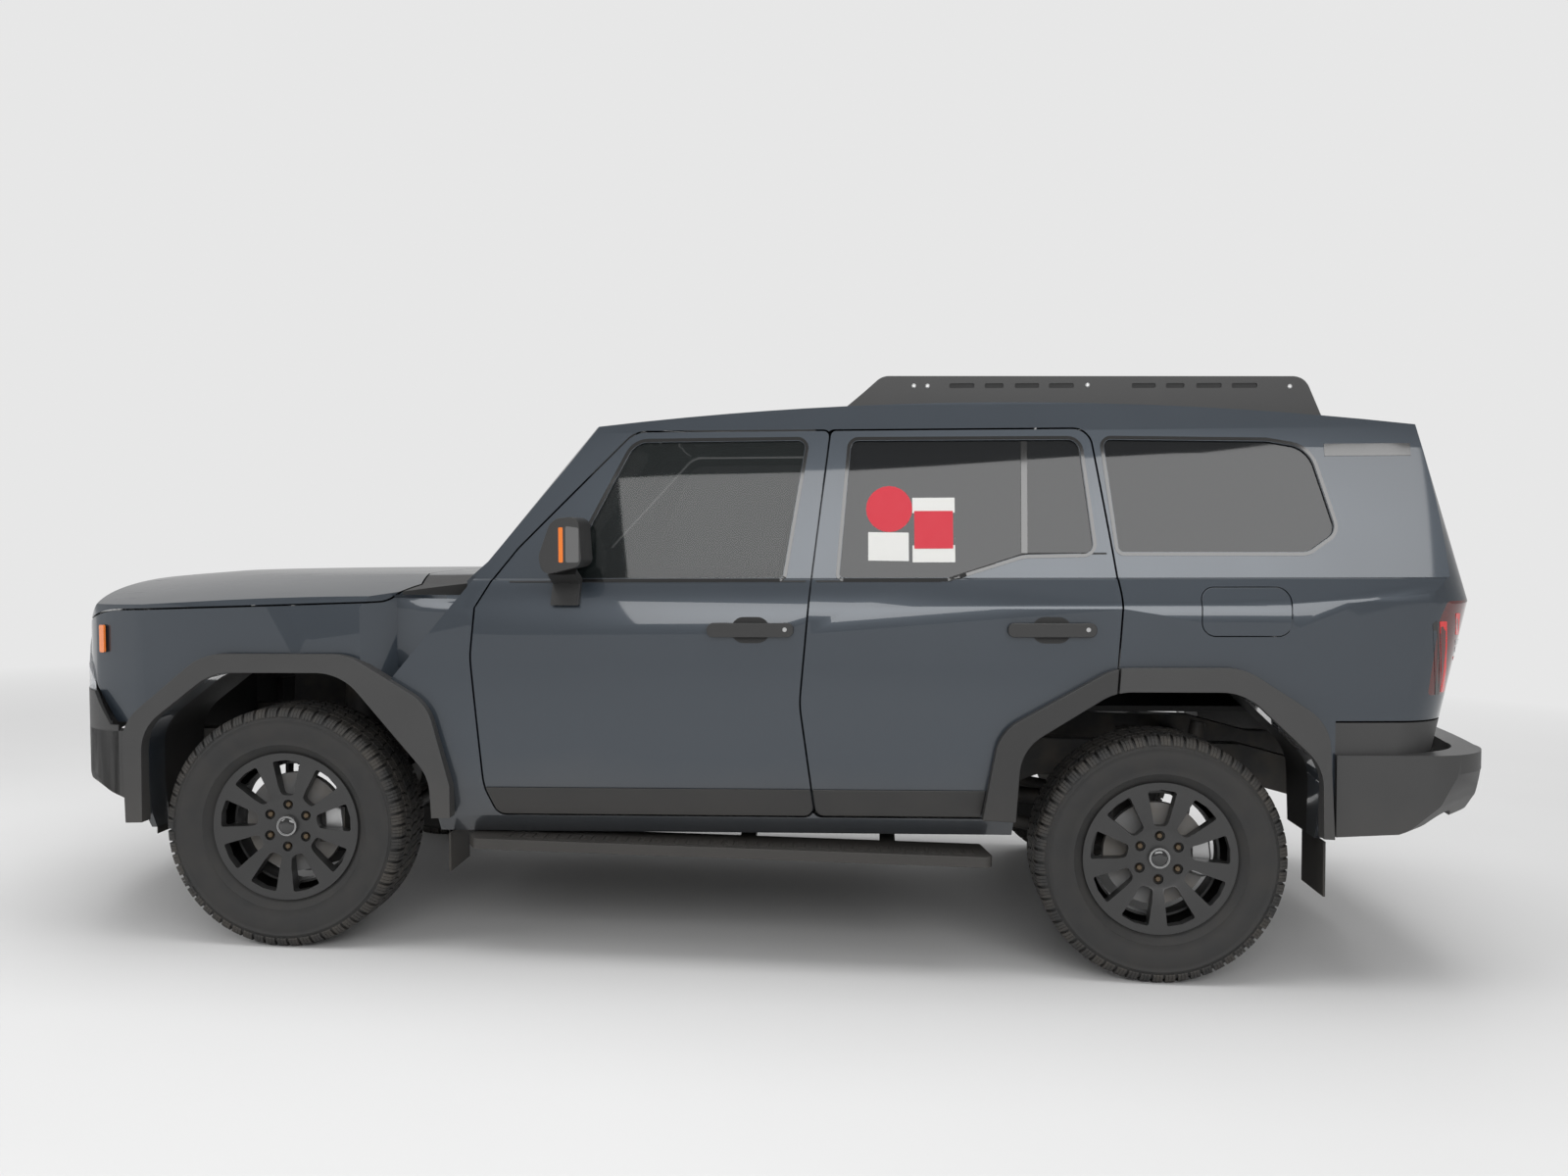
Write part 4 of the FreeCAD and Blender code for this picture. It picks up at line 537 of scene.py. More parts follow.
def beltAt(length):
    share = (length * 1000 - belt["start"]) / (belt["end"] - belt["start"])
    return (belt["low"] + (belt["high"] - belt["low"]) * min(1, max(0, share))) / 1000


def doorPick(centre, normal):
    # painted below the belt, frame grey above it, dark trim on the inner face
    if normal.y * centre.y < -0.3 * abs(centre.y):
        return 2
    return 1 if bodyHeight(centre) > beltAt(bodyLength(centre)) else 0


def shellPick(centre, normal):
    inward = -normal.y if centre.y > 0 else normal.y
    return 1 if inward > 0.35 or normal.z < -0.6 else 0


sides = ("left", "right")
sign = {"left": 1, "right": -1}
nose, wide = 2443, 957
frontReach, rearReach = 2233, -2315
bumperPlan = ((nose - 450, wide + 3), (nose - 290, wide - 52), (nose - 175, wide - 240))
hoodPlan = ((nose - 600, wide + 9), (nose - 330, wide - 62), (nose - 225, wide - 140))


def nosePlan(lead, corner):
    # the nose from above: a lead along the side, a bowed corner, a bowed front and their mirror image
    half = [Vector((-3000, wide + 9)), *lead, *bowed(*corner)]
    last = corner[2]
    front = bowed(last, (nose + 2, 0), (last[0], -last[1]), 24)[1:-1]
    return half + front + [Vector((point.x, -point.y)) for point in reversed(half)]


def noseTool(plan):
    return prism(plan, "plan", 300, 1500), "INTERSECT"


def cornerTool(profile, angle):
    # what lies outside a profile at a bumper corner, seen along a turned line
    return prism(rounded(profile), "side", -2600, 2600, math.radians(angle)), "DIFFERENCE"


underFront = [
    (frontReach - 160, 250), (frontReach - 160, 480), (frontReach - 95, 517, 60), (frontReach - 22, 560, 60),
    (frontReach + 12, 640), (frontReach + 400, 640), (frontReach + 400, 250),
]
underRear = [
    (rearReach + 260, 250), (rearReach + 230, 400), (rearReach + 99, 463, 60), (rearReach + 30, 540, 60),
    (rearReach - 5, 640), (rearReach - 385, 640), (rearReach - 385, 250),
]
noseKeep = noseTool(nosePlan([], hoodPlan))
frontTools = [noseTool(nosePlan([Vector((nose - 450, wide + 9))], bumperPlan))]
frontTools += [cornerTool(underFront, angle) for angle in (40, -40)]
rearTools = [cornerTool(underRear, angle) for angle in (42, -42)]


def trimPick(centre, normal):
    # cladding low on the door, gloss black for the handle and the mirror
    return 1 if bodyHeight(centre) > 1.0 else 0


for side in sides:
    for door in ("front_door", "rear_door"):
        dressed(f"{door}_{side}", ["paint", "frames", "inside"], 0.002, doorPick, planes=beltPlanes)
        dressed(f"{door}_trim_{side}", ["cladding", "gloss"], 0.004, trimPick)
        dressed(f"{door}_glass_{side}", ["glassFront" if door == "front_door" else "glassRear"])
    dressed(f"body_side_{side}", ["paint", "inside"], 0.002, shellPick)
    dressed(f"knuckle_{side}", ["chassis"], 0.001)
paintedShells = {"hood": (0.003, [noseKeep]), "front_fenders": (0.002, [noseKeep]), "roof_panel": (0.003, ())}
for node, (edge, tools) in paintedShells.items():
    dressed(node, ["paint", "inside"], edge, shellPick, tools=tools)
# each node's finish, the width of its softened edges and what carves it
plainSkins = {
    "tailgate": ("paint", 0.002),
    "fuel_door": ("paint", 0.0015),
    "cowl_panel": ("cladding", 0.002),
    "arch_flares": ("plastic", 0.010),
    "arch_liners": ("matteBlack", 0.002),
    "front_bumper": ("plastic", 0.007, frontTools),
    "rear_bumper": ("plastic", 0.007, rearTools),
    "grille": ("gloss", 0.002, [noseKeep]),
    "headlamps": ("lens", 0.002, [noseKeep]),
    "tail_lamps": ("darkRed", 0.002),
    "roof_rack": ("rack", 0.0015),
    "side_steps": ("cladding", 0.003),
    "ladder_frame": ("chassis", 0.002),
    "front_suspension": ("chassis", 0.001),
    "rear_axle": ("chassis", 0.001),
    "engine_block": ("chassis", 0.004),
    "gearbox": ("chassis", 0.002),
    "drive_shafts": ("chassis", 0.0),
    "exhaust": ("silver", 0.0),
    "fuel_tank": ("matteBlack", 0.004),
    "floor_pan": ("inside", 0.002),
    "radiator": ("matteBlack", 0.002),
    "dashboard": ("inside", 0.004),
    "steering_wheel": ("inside", 0.001),
    "windscreen": ("glassFront", 0.0),
    "tailgate_glass": ("glassRear", 0.0),
    "quarter_glass": ("glassRear", 0.0),
}
for node, (finish, edge, *tools) in plainSkins.items():
    dressed(node, [finish], edge, tools=tools[0] if tools else ())
print("panels dressed")


def revolve(profile, steps):
    # a closed section of (radius, outward) pairs turned about the axle
    bm = bmesh.new()
    rings = []
    for step in range(steps):
        angle = 2 * math.pi * step / steps
        rings.append([
            bm.verts.new((math.sin(angle) * r, out, math.cos(angle) * r)) for r, out in profile
        ])
    count = len(profile)
    for step in range(steps):
        here, ahead = rings[step], rings[(step + 1) % steps]
        for i in range(count):
            j = (i + 1) % count
            bm.faces.new((here[i], here[j], ahead[j], ahead[i]))
    bmesh.ops.remove_doubles(bm, verts=bm.verts, dist=1e-6)
    bmesh.ops.dissolve_degenerate(bm, edges=bm.edges, dist=1e-6)
    bmesh.ops.recalc_face_normals(bm, faces=bm.faces)
    mesh = bpy.data.meshes.new("turned")
    bm.to_mesh(mesh)
    bm.free()
    return mesh


def joinedMesh(name, meshes):
    # several meshes as one, each keeping its materials
    bm = bmesh.new()
    materials = []
    for mesh in meshes:
        start = len(bm.faces)
        bm.from_mesh(mesh)
        bm.faces.ensure_lookup_table()
        slots = [mesh.materials[i] for i in range(len(mesh.materials))] or [None]
        for face in bm.faces[start:]:
            finish = slots[min(face.material_index, len(slots) - 1)]
            if finish not in materials:
                materials.append(finish)
            face.material_index = materials.index(finish)
    result = bpy.data.meshes.new(name)
    bm.to_mesh(result)
    bm.free()
    for finish in materials:
        result.materials.append(finish)
    return result


repeatInputs = {
    "Count": "Int", "Turn": "Float", "Step": "Vector", "Jitter": "Float", "Seed": "Int", "Finish": "Material",
}


def repeatTree():
    # copies the incoming mesh in a row or round the axle, with a little jitter in its turn
    tree = bpy.data.node_groups.new("repeatAlong", "GeometryNodeTree")
    face = tree.interface
    face.new_socket("Geometry", in_out="INPUT", socket_type="NodeSocketGeometry")
    for name, kind in repeatInputs.items():
        face.new_socket(name, in_out="INPUT", socket_type="NodeSocket" + kind)
    face.new_socket("Geometry", in_out="OUTPUT", socket_type="NodeSocketGeometry")
    sheet = Sheet("repeatAlong", tree)

    def given(name):
        return sheet.add("NodeGroupInput", out=name)

    index = sheet.add("GeometryNodeInputIndex")
    place = sheet.add("ShaderNodeVectorMath", {"operation": "SCALE"}, {0: given("Step"), "Scale": index})
    spread = {2: -1.0, 3: 1.0, "ID": index, "Seed": given("Seed")}
    shake = sheet.add("FunctionNodeRandomValue", {"data_type": "FLOAT"}, spread, 1)
    angle = index * given("Turn") + shake * given("Jitter")
    spin = sheet.add("ShaderNodeCombineXYZ", None, {"Y": angle})
    points = sheet.add("GeometryNodePoints", None, {"Count": given("Count"), "Position": place})
    layout = {"Points": points, "Instance": given("Geometry"), "Rotation": spin}
    copies = sheet.add("GeometryNodeInstanceOnPoints", None, layout)
    real = sheet.add("GeometryNodeRealizeInstances", None, {0: copies})
    finish = sheet.add("GeometryNodeSetMaterial", None, {"Geometry": real, "Material": given("Finish")})
    sheet.add("NodeGroupOutput", None, {0: finish})
    return tree


repeatNodes = repeatTree()


def repeated(mesh, finish, count, turn=0.0, step=(0, 0, 0), jitter=0.0):
    host = link(bpy.data.objects.new("host", mesh))
    modifier = host.modifiers.new("repeat", "NODES")
    modifier.node_group = repeatNodes
    values = dict(zip(repeatInputs, (count, turn, step, jitter, 7, skins[finish])))
    for item in repeatNodes.interface.items_tree:
        if item.in_out == "INPUT" and item.name in values:
            modifier[item.identifier] = values[item.name]
    host.update_tag()
    result = settled(host)
    bpy.data.objects.remove(host)
    return result


def bar(loops):
    # a closed solid between matching loops of points
    count = len(loops[0])
    points = [p for loop in loops for p in loop]
    faces = [tuple(range(count)), tuple(range(len(points) - 1, len(points) - count - 1, -1))]
    for k in range(len(loops) - 1):
        for i in range(count):
            j = (i + 1) % count
            faces.append((k * count + i, k * count + j, (k + 1) * count + j, (k + 1) * count + i))
    mesh = cleanMesh("bar", points, faces)
    outward(mesh)
    return mesh


tyreShape = {
    "radius": 0.398, "base": 0.3895, "pitches": 60, "steps": 120, "jitter": 0.0012,
    "lugs": ((0.03, 0.27), (0.30, 0.54), (0.57, 0.80)),
    "blocks": ((0.0, 0.40), (0.44, 0.84)),
    "rows": ((0.047, 0.0205, 0.006, 0.2), (0.0, 0.0215, -0.004, 0.5), (-0.047, 0.0205, -0.006, 0.7)),
    "back": 0.4, "point": 0.004,
}


def treadPitch():
    # one pitch of the tread: two shoulder lugs cut by sipes, and three rows of blocks between them
    pieces = []
    radius, back, point = tyreShape["radius"], tyreShape["back"], tyreShape["point"]
    pitch = 2 * math.pi * radius / tyreShape["pitches"]
    low = tyreShape["base"] - 0.001
    shoulder = [
        (0.072, radius - 0.0004), (0.100, radius - 0.0008), (0.112, radius - 0.0035), (0.121, 0.3868),
        (0.1272, 0.3770), (0.1300, 0.3700), (0.1282, 0.3655), (0.118, 0.3740), (0.104, 0.3850), (0.072, low),
    ]
    for flip, offset in ((1, 0.0), (-1, 0.45)):
        for lug in tyreShape["lugs"]:
            places = [(share + offset - back) * pitch for share in lug]
            pieces.append(bar([[(along, flip * out, up) for out, up in shoulder] for along in places]))
    for centre, half, skew, offset in tyreShape["rows"]:
        for block in tyreShape["blocks"]:
            begin, end = [(share + offset - back) * pitch for share in block]
            plan = [
                (begin - skew, centre - half), (begin + point, centre), (begin + skew, centre + half),
                (end + skew, centre + half), (end + point, centre), (end - skew, centre - half),
            ]
            pieces.append(bar([[(a, b, level) for a, b in plan] for level in (low, radius - 0.0003)]))
    whole = joinedMesh("treadPitch", pieces)
    for vert in whole.vertices:
        angle = vert.co.x / radius
        vert.co = (math.sin(angle) * vert.co.z, vert.co.y, math.cos(angle) * vert.co.z)
    return whole


def tyreMesh():
    outer = [
        (0.2300, 0.0900), (0.2478, 0.0955), (0.2530, 0.1000), (0.2600, 0.1100), (0.2720, 0.1180),
        (0.2745, 0.1205), (0.2775, 0.1195), (0.2980, 0.1262), (0.3220, 0.1305), (0.3420, 0.1318),
        (0.3530, 0.1308), (0.3545, 0.1322), (0.3570, 0.1320), (0.3585, 0.1298), (0.3680, 0.1262),
        (0.3770, 0.1205), (0.3850, 0.1100), (0.3885, 0.0980), (0.3893, 0.0500),
    ]
    inner = [(0.3750, 0.0900), (0.3400, 0.1180), (0.2600, 0.1000), (0.2300, 0.0780)]
    section = outer + [(r, -out) for r, out in reversed(outer)]
    section += [(r, -out) for r, out in reversed(inner)] + inner
    carcass = revolve(section, tyreShape["steps"])
    carcass.materials.append(skins["tyre"])
    soften(carcass, 50)
    pitches = tyreShape["pitches"]
    tread = repeated(treadPitch(), "tread", pitches, 2 * math.pi / pitches, jitter=tyreShape["jitter"])
    return joinedMesh("tyreWhole", [carcass, tread])


wheelShape = {
    "spokes": 9, "steps": 144, "bevel": 0.0016,
    "windowLow": 0.101, "windowHigh": 0.2185, "inner": 0.0205, "outer": 0.0465,
    "nuts": 6, "nutCircle": 0.06985, "nut": 0.0102, "pocket": 0.0168, "pocketFloor": 0.0712,
}


def windowTool():
    low, high = wheelShape["windowLow"], wheelShape["windowHigh"]
    inner, outer = wheelShape["inner"], wheelShape["outer"]
    plan = rounded([
        (-inner, low, 0.016), (inner, low, 0.016),
        (outer, high - 0.004, 0.007), (0, high + 0.0025), (-outer, high - 0.004, 0.007),
    ], 5)
    return bar([[(a, out, b) for a, b in plan] for out in (0.030, 0.130)])


def circle(radius, steps):
    turns = [2 * math.pi * step / steps for step in range(steps)]
    return [(radius * math.sin(turn), radius * math.cos(turn)) for turn in turns]


def nutRing(finish, radius, low, high, dome, steps):
    # the six nuts, or round plugs, on the wheel's bolt circle
    loops = []
    for out, scale in ((low, 1.0), (high - dome, 1.0), (high, 0.72)):
        loops.append([(a, out, wheelShape["nutCircle"] + b) for a, b in circle(radius * scale, steps)])
    return repeated(bar(loops), finish, wheelShape["nuts"], 2 * math.pi / wheelShape["nuts"])


def turnedPart(profile, steps, finish):
    part = revolve(profile, steps)
    part.materials.append(skins[finish])
    soften(part, 35)
    return part


def wheelBody():
    # the turned rim and face, less its windows and nut pockets, with a painted highlight on its bevelled
    # edges
    section = [
        (0.0300, 0.0200), (0.0300, 0.0830), (0.0560, 0.0835), (0.0860, 0.0850), (0.0980, 0.0865),
        (0.1400, 0.0995), (0.2180, 0.1022), (0.2360, 0.1030), (0.2440, 0.1035), (0.2455, 0.1000),
        (0.2430, 0.0960), (0.2325, 0.0930), (0.2285, 0.0750), (0.2060, 0.0530), (0.2060, -0.0200),
        (0.2285, -0.0750), (0.2330, -0.0960), (0.2455, -0.0990), (0.2455, -0.1045), (0.2220, -0.1040),
        (0.2205, -0.0730), (0.1980, -0.0200), (0.1980, 0.0560), (0.0900, 0.0560), (0.0620, 0.0400),
        (0.0620, 0.0200),
    ]
    count = wheelShape["spokes"]
    windows = repeated(windowTool(), "wheel", count, 2 * math.pi / count)
    pockets = nutRing("wheel", wheelShape["pocket"], 0.070, 0.12, 0.0, 20)
    tools = [(windows, "DIFFERENCE"), (pockets, "DIFFERENCE")]
    body = carved(revolve(section, wheelShape["steps"]), tools)
    body.materials.clear()
    for finish in ("wheel", "bright"):
        body.materials.append(skins[finish])
    body.polygons.foreach_set("material_index", [0] * len(body.polygons))
    soften(body, 25)
    face = link(bpy.data.objects.new("face", body))
    # the bevels take the light bright metal: a painted highlight along the edges
    bevelled(face, wheelShape["bevel"], 45, 1)
    body = settled(face)
    bpy.data.objects.remove(face)
    return body


def wheelMesh():
    cup = [
        (0.0305, 0.0790), (0.0345, 0.0935), (0.0330, 0.0965), (0.0290, 0.0968),
        (0.0285, 0.0945), (0.0265, 0.0945), (0.0265, 0.0790),
    ]
    crown = [
        (0.0, 0.0790), (0.0, 0.0985), (0.0120, 0.0982), (0.0215, 0.0968), (0.0262, 0.0935), (0.0268, 0.0790),
    ]
    disc = [(0.062, -0.006), (0.166, -0.006), (0.166, 0.022), (0.062, 0.022)]
    return joinedMesh("wheelWhole", [
        wheelBody(),
        turnedPart(cup, 48, "bright"),
        turnedPart(crown, 48, "gloss"),
        nutRing("bronze", wheelShape["nut"], 0.068, 0.0835, 0.004, 12),
        # a black disc at the floor of each nut pocket: painted shade in the recess
        nutRing("matteBlack", wheelShape["pocket"] - 0.0002, 0.060, wheelShape["pocketFloor"], 0.0, 20),
        turnedPart(disc, 64, "disc"),
    ])


caliperShape = {
    "outline": [
        (-0.165, -0.075, 0.02), (-0.175, 0.0, 0.05), (-0.165, 0.075, 0.02),
        (-0.105, 0.055, 0.01), (-0.110, 0.0, 0.03), (-0.105, -0.055, 0.01),
    ],
    "levels": ((-0.020, 1.0), (0.040, 1.0), (0.048, 0.86)),
    "centre": -0.14, "bevel": 0.004,
}


def caliperMesh():
    centre = caliperShape["centre"]
    outline = rounded(caliperShape["outline"], 4)
    return bar([
        [(centre + (a - centre) * grow, out, b * grow) for a, b in outline]
        for out, grow in caliperShape["levels"]
    ])


def atWheel(mesh, end, side):
    # a copy at its corner of the car, mirrored on the right
    copy = mesh.copy()
    flip = Matrix.Diagonal((1, sign[side], 1, 1))
    spot = Vector((stance[end + "Axle"], sign[side] * stance["wheelPlace"], stance["axleHeight"]))
    copy.transform(Matrix.Translation(spot) @ flip)
    if side == "right":
        copy.flip_normals()
    return copy


wholes = {"tyre": tyreMesh(), "wheel": wheelMesh(), "caliper": caliperMesh()}
for side in sides:
    for end in ("front", "rear"):
        for kind in ("tyre", "wheel"):
            node = f"{kind}_{end}_{side}"
            copy = atWheel(wholes[kind], end, side)
            piece = placed(node + "_skin", copy, cadNodes[node]["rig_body"])
            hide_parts(node)
        holder = f"steering_{side}" if end == "front" else "body"
        copy = atWheel(wholes["caliper"], end, side)
        caliper = placed(f"caliper_{end}_{side}", copy, holder, ["silver"])
        bevelled(caliper, caliperShape["bevel"])
print("wheels ready")


def hullTree(names):
    # what rays from the side can meet, built from some of the CAD nodes
    points, faces = [], []
    for name in names:
        mesh = cadNodes[name].data
        start = len(points)
        points += [v.co.copy() for v in mesh.vertices]
        faces += [tuple(start + i for i in p.vertices) for p in mesh.polygons]
    return BVHTree.FromPolygons(points, faces)


sideTree = hullTree([
    "front_door_left", "rear_door_left", "body_side_left", "front_fenders", "hood", "front_door_glass_left",
    "rear_door_glass_left", "quarter_glass", "tail_lamps", "fuel_door", "headlamps", "tailgate", "cowl_panel",
])
trimTree = hullTree(["front_door_trim_left", "rear_door_trim_left", "arch_flares"])


def onSide(length, height, tree=sideTree):
    # the point of the left side that shows at a place of the side view, and its normal
    start = raked(length, 1300, height)
    spot, normal, face, distance = tree.ray_cast(start, Vector((0, -1, 0)), 1.2)
    if spot is None:
        return None
    return spot, (normal if normal.y > 0 else -normal)


def resampled(points, closed, gap=24.0):
    result = []
    pairs = list(zip(points, points[1:] + points[:1])) if closed else list(zip(points, points[1:]))
    for first, second in pairs:
        first, second = Vector(first), Vector(second)
        count = max(1, int((second - first).length / gap))
        result += [first.lerp(second, k / count) for k in range(count)]
    if not closed:
        result.append(Vector(points[-1]))
    return result


def sidewise(points, closed, amount):
    # the outline moved to its right by an amount
    result = []
    count = len(points)
    for i, point in enumerate(points):
        before = points[i - 1] if i or closed else point
        after = points[(i + 1) % count] if i < count - 1 or closed else point
        along = (after - before).normalized()
        result.append(point + Vector((along.y, -along.x)) * amount)
    return result


def mirroredMesh(mesh):
    copy = mesh.copy()
    copy.transform(Matrix.Diagonal((1, -1, 1, 1)))
    copy.flip_normals()
    return copy


sunkEdge, sunkPlate = 0.002, 0.003


def ribbon(name, corners, closed, width, rise, finish, bodies, shift=0.0):
    # a strip that follows the side's surface along a line of the side view
    path = resampled(rounded(corners) if closed else [Vector(c[:2]) for c in corners], closed)
    if shift:
        path = sidewise(path, closed, shift)
    spots = [found for found in (onSide(p.x, p.y) for p in path) if found]
    count = len(spots)
    loops = []
    for i, (spot, normal) in enumerate(spots):
        before = spots[i - 1][0] if i or closed else spot
        after = spots[(i + 1) % count][0] if i < count - 1 or closed else spot
        along = (after - before).normalized()
        across = along.cross(normal).normalized() * (width / 2)
        up = normal * rise
        down = normal * -sunkEdge
        inner = across * 0.9
        loops.append([spot - across + down, spot - inner + up, spot + inner + up, spot + across + down])
    points = [p for loop in loops for p in loop]
    faces = []
    for k in range(count if closed else count - 1):
        for i in range(4):
            j = (i + 1) % 4
            m = (k + 1) % count
            faces.append((k * 4 + i, k * 4 + j, m * 4 + j, m * 4 + i))
    if not closed:
        faces += [(0, 1, 2, 3), tuple(4 * (count - 1) + i for i in (3, 2, 1, 0))]
    mesh = cleanMesh(name, points, faces)
    outward(mesh)
    soften(mesh, 50)
    placedBoth(name, mesh, finish, bodies)


def placedBoth(name, mesh, finish, bodies):
    # the piece on its left body and, where a right one is given, its mirror image there
    placed(f"{name}_left", mesh, bodies[0], [finish])
    if len(bodies) > 1:
        copy = mirroredMesh(mesh)
        copy.materials.clear()
        placed(f"{name}_right", copy, bodies[1], [finish])


def inlay(name, corners, rise, finish, bodies, tree=sideTree):
    # a thin plate that lies on the side's surface
    outline = resampled(rounded(corners, 8), True, 60.0)
    found = [onSide(p.x, p.y, tree) for p in outline]
    found = [item for item in found if item]
    loops = [[spot + normal * lift for spot, normal in found] for lift in (-sunkPlate, rise)]
    mesh = bar(loops)
    mesh.shade_flat()
    placedBoth(name, mesh, finish, bodies)


def rectangle(rear, low, ahead, high, radius):
    return [(rear, low, radius), (rear, high, radius), (ahead, high, radius), (ahead, low, radius)]


doors = {end: [f"{end}_door_left", f"{end}_door_right"] for end in ("front", "rear")}
hullBodies = ["body", "body"]
# outlines of the side view, in millimetres; a third value is a corner's radius
windows = {
    "front_window_seal": (doors["front"], [
        (566, 1257, 14), (340, 1703, 70), (-226, 1706, 25), (-152, 1257, 12),
    ]),
    "rear_window_seal": (doors["rear"], [
        (-336, 1257, 12), (-375, 1704, 25), (-1110, 1702, 40), (-1150, 1334, 30), (-925, 1330, 120),
        (-690, 1257, 90),
    ]),
    "quarter_window_seal": (hullBodies, [
        (-1190, 1702, 22), (-1230, 1338, 18), (-1820, 1336, 60), (-1912, 1400, 45), (-1840, 1668, 90),
        (-1709, 1692),
    ]),
}
seal = {"width": 0.012, "rise": 0.0018, "shift": 7.0}
for name, (bodies, window) in windows.items():
    area = sum(a[0] * b[1] - b[0] * a[1] for a, b in zip(window, window[1:] + window[:1]))
    shift = math.copysign(seal["shift"], area)
    ribbon(name, window, True, seal["width"], seal["rise"], "gloss", bodies, shift)
strips = {
    "front_belt_line": ([(740, 1246), (-228, 1246)], 0.006, 0.0012, "matteBlack", doors["front"]),
    "rear_belt_line": (
        [(-262, 1246), (-660, 1246), (-932, 1333), (-1190, 1333)], 0.006, 0.0012, "matteBlack", doors["rear"],
    ),
    "rear_window_bar": ([(-936, 1698), (-930, 1334)], 0.022, 0.003, "gloss", doors["rear"]),
    "rear_pillar_band": ([(-1890, 1663), (-2160, 1663)], 0.045, 0.0012, "gloss", hullBodies),
}
for name, (line, width, rise, finish, bodies) in strips.items():
    ribbon(name, line, False, width, rise, finish, bodies)
handle = {"front": -52, "rear": -1007, "bowlHalf": 62, "bowlLow": 1050, "bowlHigh": 1134, "button": 1095}
for end in ("front", "rear"):
    length, half = handle[end], handle["bowlHalf"]
    bowl = rectangle(length - half, handle["bowlLow"], length + half, handle["bowlHigh"], 40)
    # a flat dark plate on the door: painted shade of the recess behind the handle
    inlay(f"{end}_handle_recess_shade", bowl, 0.0007, "matteBlack", doors[end])
    middle = handle["button"]
    button = rectangle(length - 118, middle - 7, length - 104, middle + 7, 7)
    inlay(f"{end}_handle_button", button, 0.0015, "silver", doors[end], tree=trimTree)
mirrorPanel = [(516, 1312, 6), (516, 1426, 6), (474, 1420, 6), (474, 1312, 6)]
mirrorLamp = rectangle(524, 1312, 538, 1422, 4)
inlay("mirror_lamp", mirrorLamp, 0.0004, "amber", doors["front"], trimTree)
inlay("mirror_panel", mirrorPanel, 0.0004, "frames", doors["front"], trimTree)
inlay("marker_lamp", rectangle(2112, 1012, 2136, 1104, 6), 0.004, "amber", hullBodies)
lampPieces = {
    "tail_bar": ([(-2214, 1118, 4), (-2240, 890, 4), (-2262, 890, 4), (-2240, 1118, 4)], "red"),
    "tail_bar_top": ([(-2276, 1142, 4), (-2286, 1072, 4), (-2304, 1072, 4), (-2296, 1142, 4)], "red"),
    "tail_bar_low": ([(-2292, 1000, 4), (-2304, 930, 4), (-2322, 930, 4), (-2312, 1000, 4)], "red"),
    "tail_lamp_white": ([(-2290, 1056, 3), (-2294, 1040, 3), (-2320, 1040, 3), (-2316, 1056, 3)], "lens"),
    "tail_lamp_white_low": ([(-2294, 1032, 3), (-2298, 1014, 3), (-2324, 1014, 3), (-2320, 1032, 3)], "lens"),
    "tail_lamp_edge": ([(-2190, 1110, 3), (-2214, 884, 3), (-2232, 884, 3), (-2206, 1122, 3)], "gloss"),
}
for name, (corners, finish) in lampPieces.items():
    inlay(name, corners, 0.0015, finish, hullBodies)
cards = {
    "round_sticker": ([(-497 + a, 1479 + b) for a, b in circle(75, 24)], 0.0006, "redCard"),
    "pale_sticker": ([(-429, 1404, 2), (-429, 1312, 2), (-560, 1310, 2), (-560, 1402, 2)], 0.0006, "white"),
    "tall_sticker": ([(-572, 1515, 2), (-572, 1306, 2), (-709, 1306, 2), (-709, 1515, 2)], 0.0006, "white"),
    "tall_sticker_print": (
        [(-578, 1472, 2), (-578, 1350, 2), (-703, 1350, 2), (-703, 1472, 2)], 0.0009, "redCard",
    ),
}
for name, (corners, rise, finish) in cards.items():
    inlay(name, corners, rise, finish, doors["rear"][:1])
print("trims ready")


def cornerWall():
    # the bumper's thickness behind its rounded corner, down the side as far as the flare
    settings = {"rear": 1990, "thick": 60, "low": 420, "high": 757}
    outer = [Vector((settings["rear"], wide + 3)), *bowed(*bumperPlan)]
    inner = sidewise(outer, False, settings["thick"])
    block = prism(outer + inner[::-1], "plan", settings["low"], settings["high"])
    return carved(block, [cornerTool(underFront, 40)])


wall = cornerWall()
soften(wall, 30)
placedBoth("front_bumper_corner", wall, "plastic", hullBodies)


def fenderTop():
    # the painted panel between the hood, the fender and the windscreen post
    loops = []
    ahead, behind, low, high, steps = 1128, 884, 965, 1204, 20
    least, usual, sunk, thick = 0.86, 0.906, 0.0008, 0.012
    for step in range(steps + 1):
        height = low + (high - low) * step / steps
        found = [onSide(x, height) for x in (ahead, behind)]
        levels = [item[0].y if item and item[0].y > least else usual for item in found]
        row = []
        for share in (0, 0.25, 0.5, 0.75, 1):
            out = levels[0] + (levels[1] - levels[0]) * share - sunk
            row.append(raked(ahead + (behind - ahead) * share, out * 1000, height))
        back = [point - Vector((0, thick, 0)) for point in reversed(row)]
        loops.append(row + back)
    mesh = bar(loops)
    soften(mesh, 30)
    return mesh


placedBoth("fender_top", fenderTop(), "paint", hullBodies)


railShape = {
    "outline": [(-318, 1800), (-480, 1933, 50), (-1883, 1918, 50), (-1950, 1765)],
    "inner": 626, "outer": 633, "slotHeight": 1899, "slotHalf": 8, "slope": 0.009,
    "slots": (
        (-705, -789), (-824, -887), (-925, -1006), (-1039, -1122),
        (-1315, -1394), (-1428, -1489), (-1528, -1612), (-1645, -1729),
    ),
    "backing": [(-690, 1882), (-690, 1912), (-1745, 1904), (-1745, 1874)],
    "bolts": ((-585, 1900), (-631, 1899), (-1168, 1897), (-1836, 1886)),
}


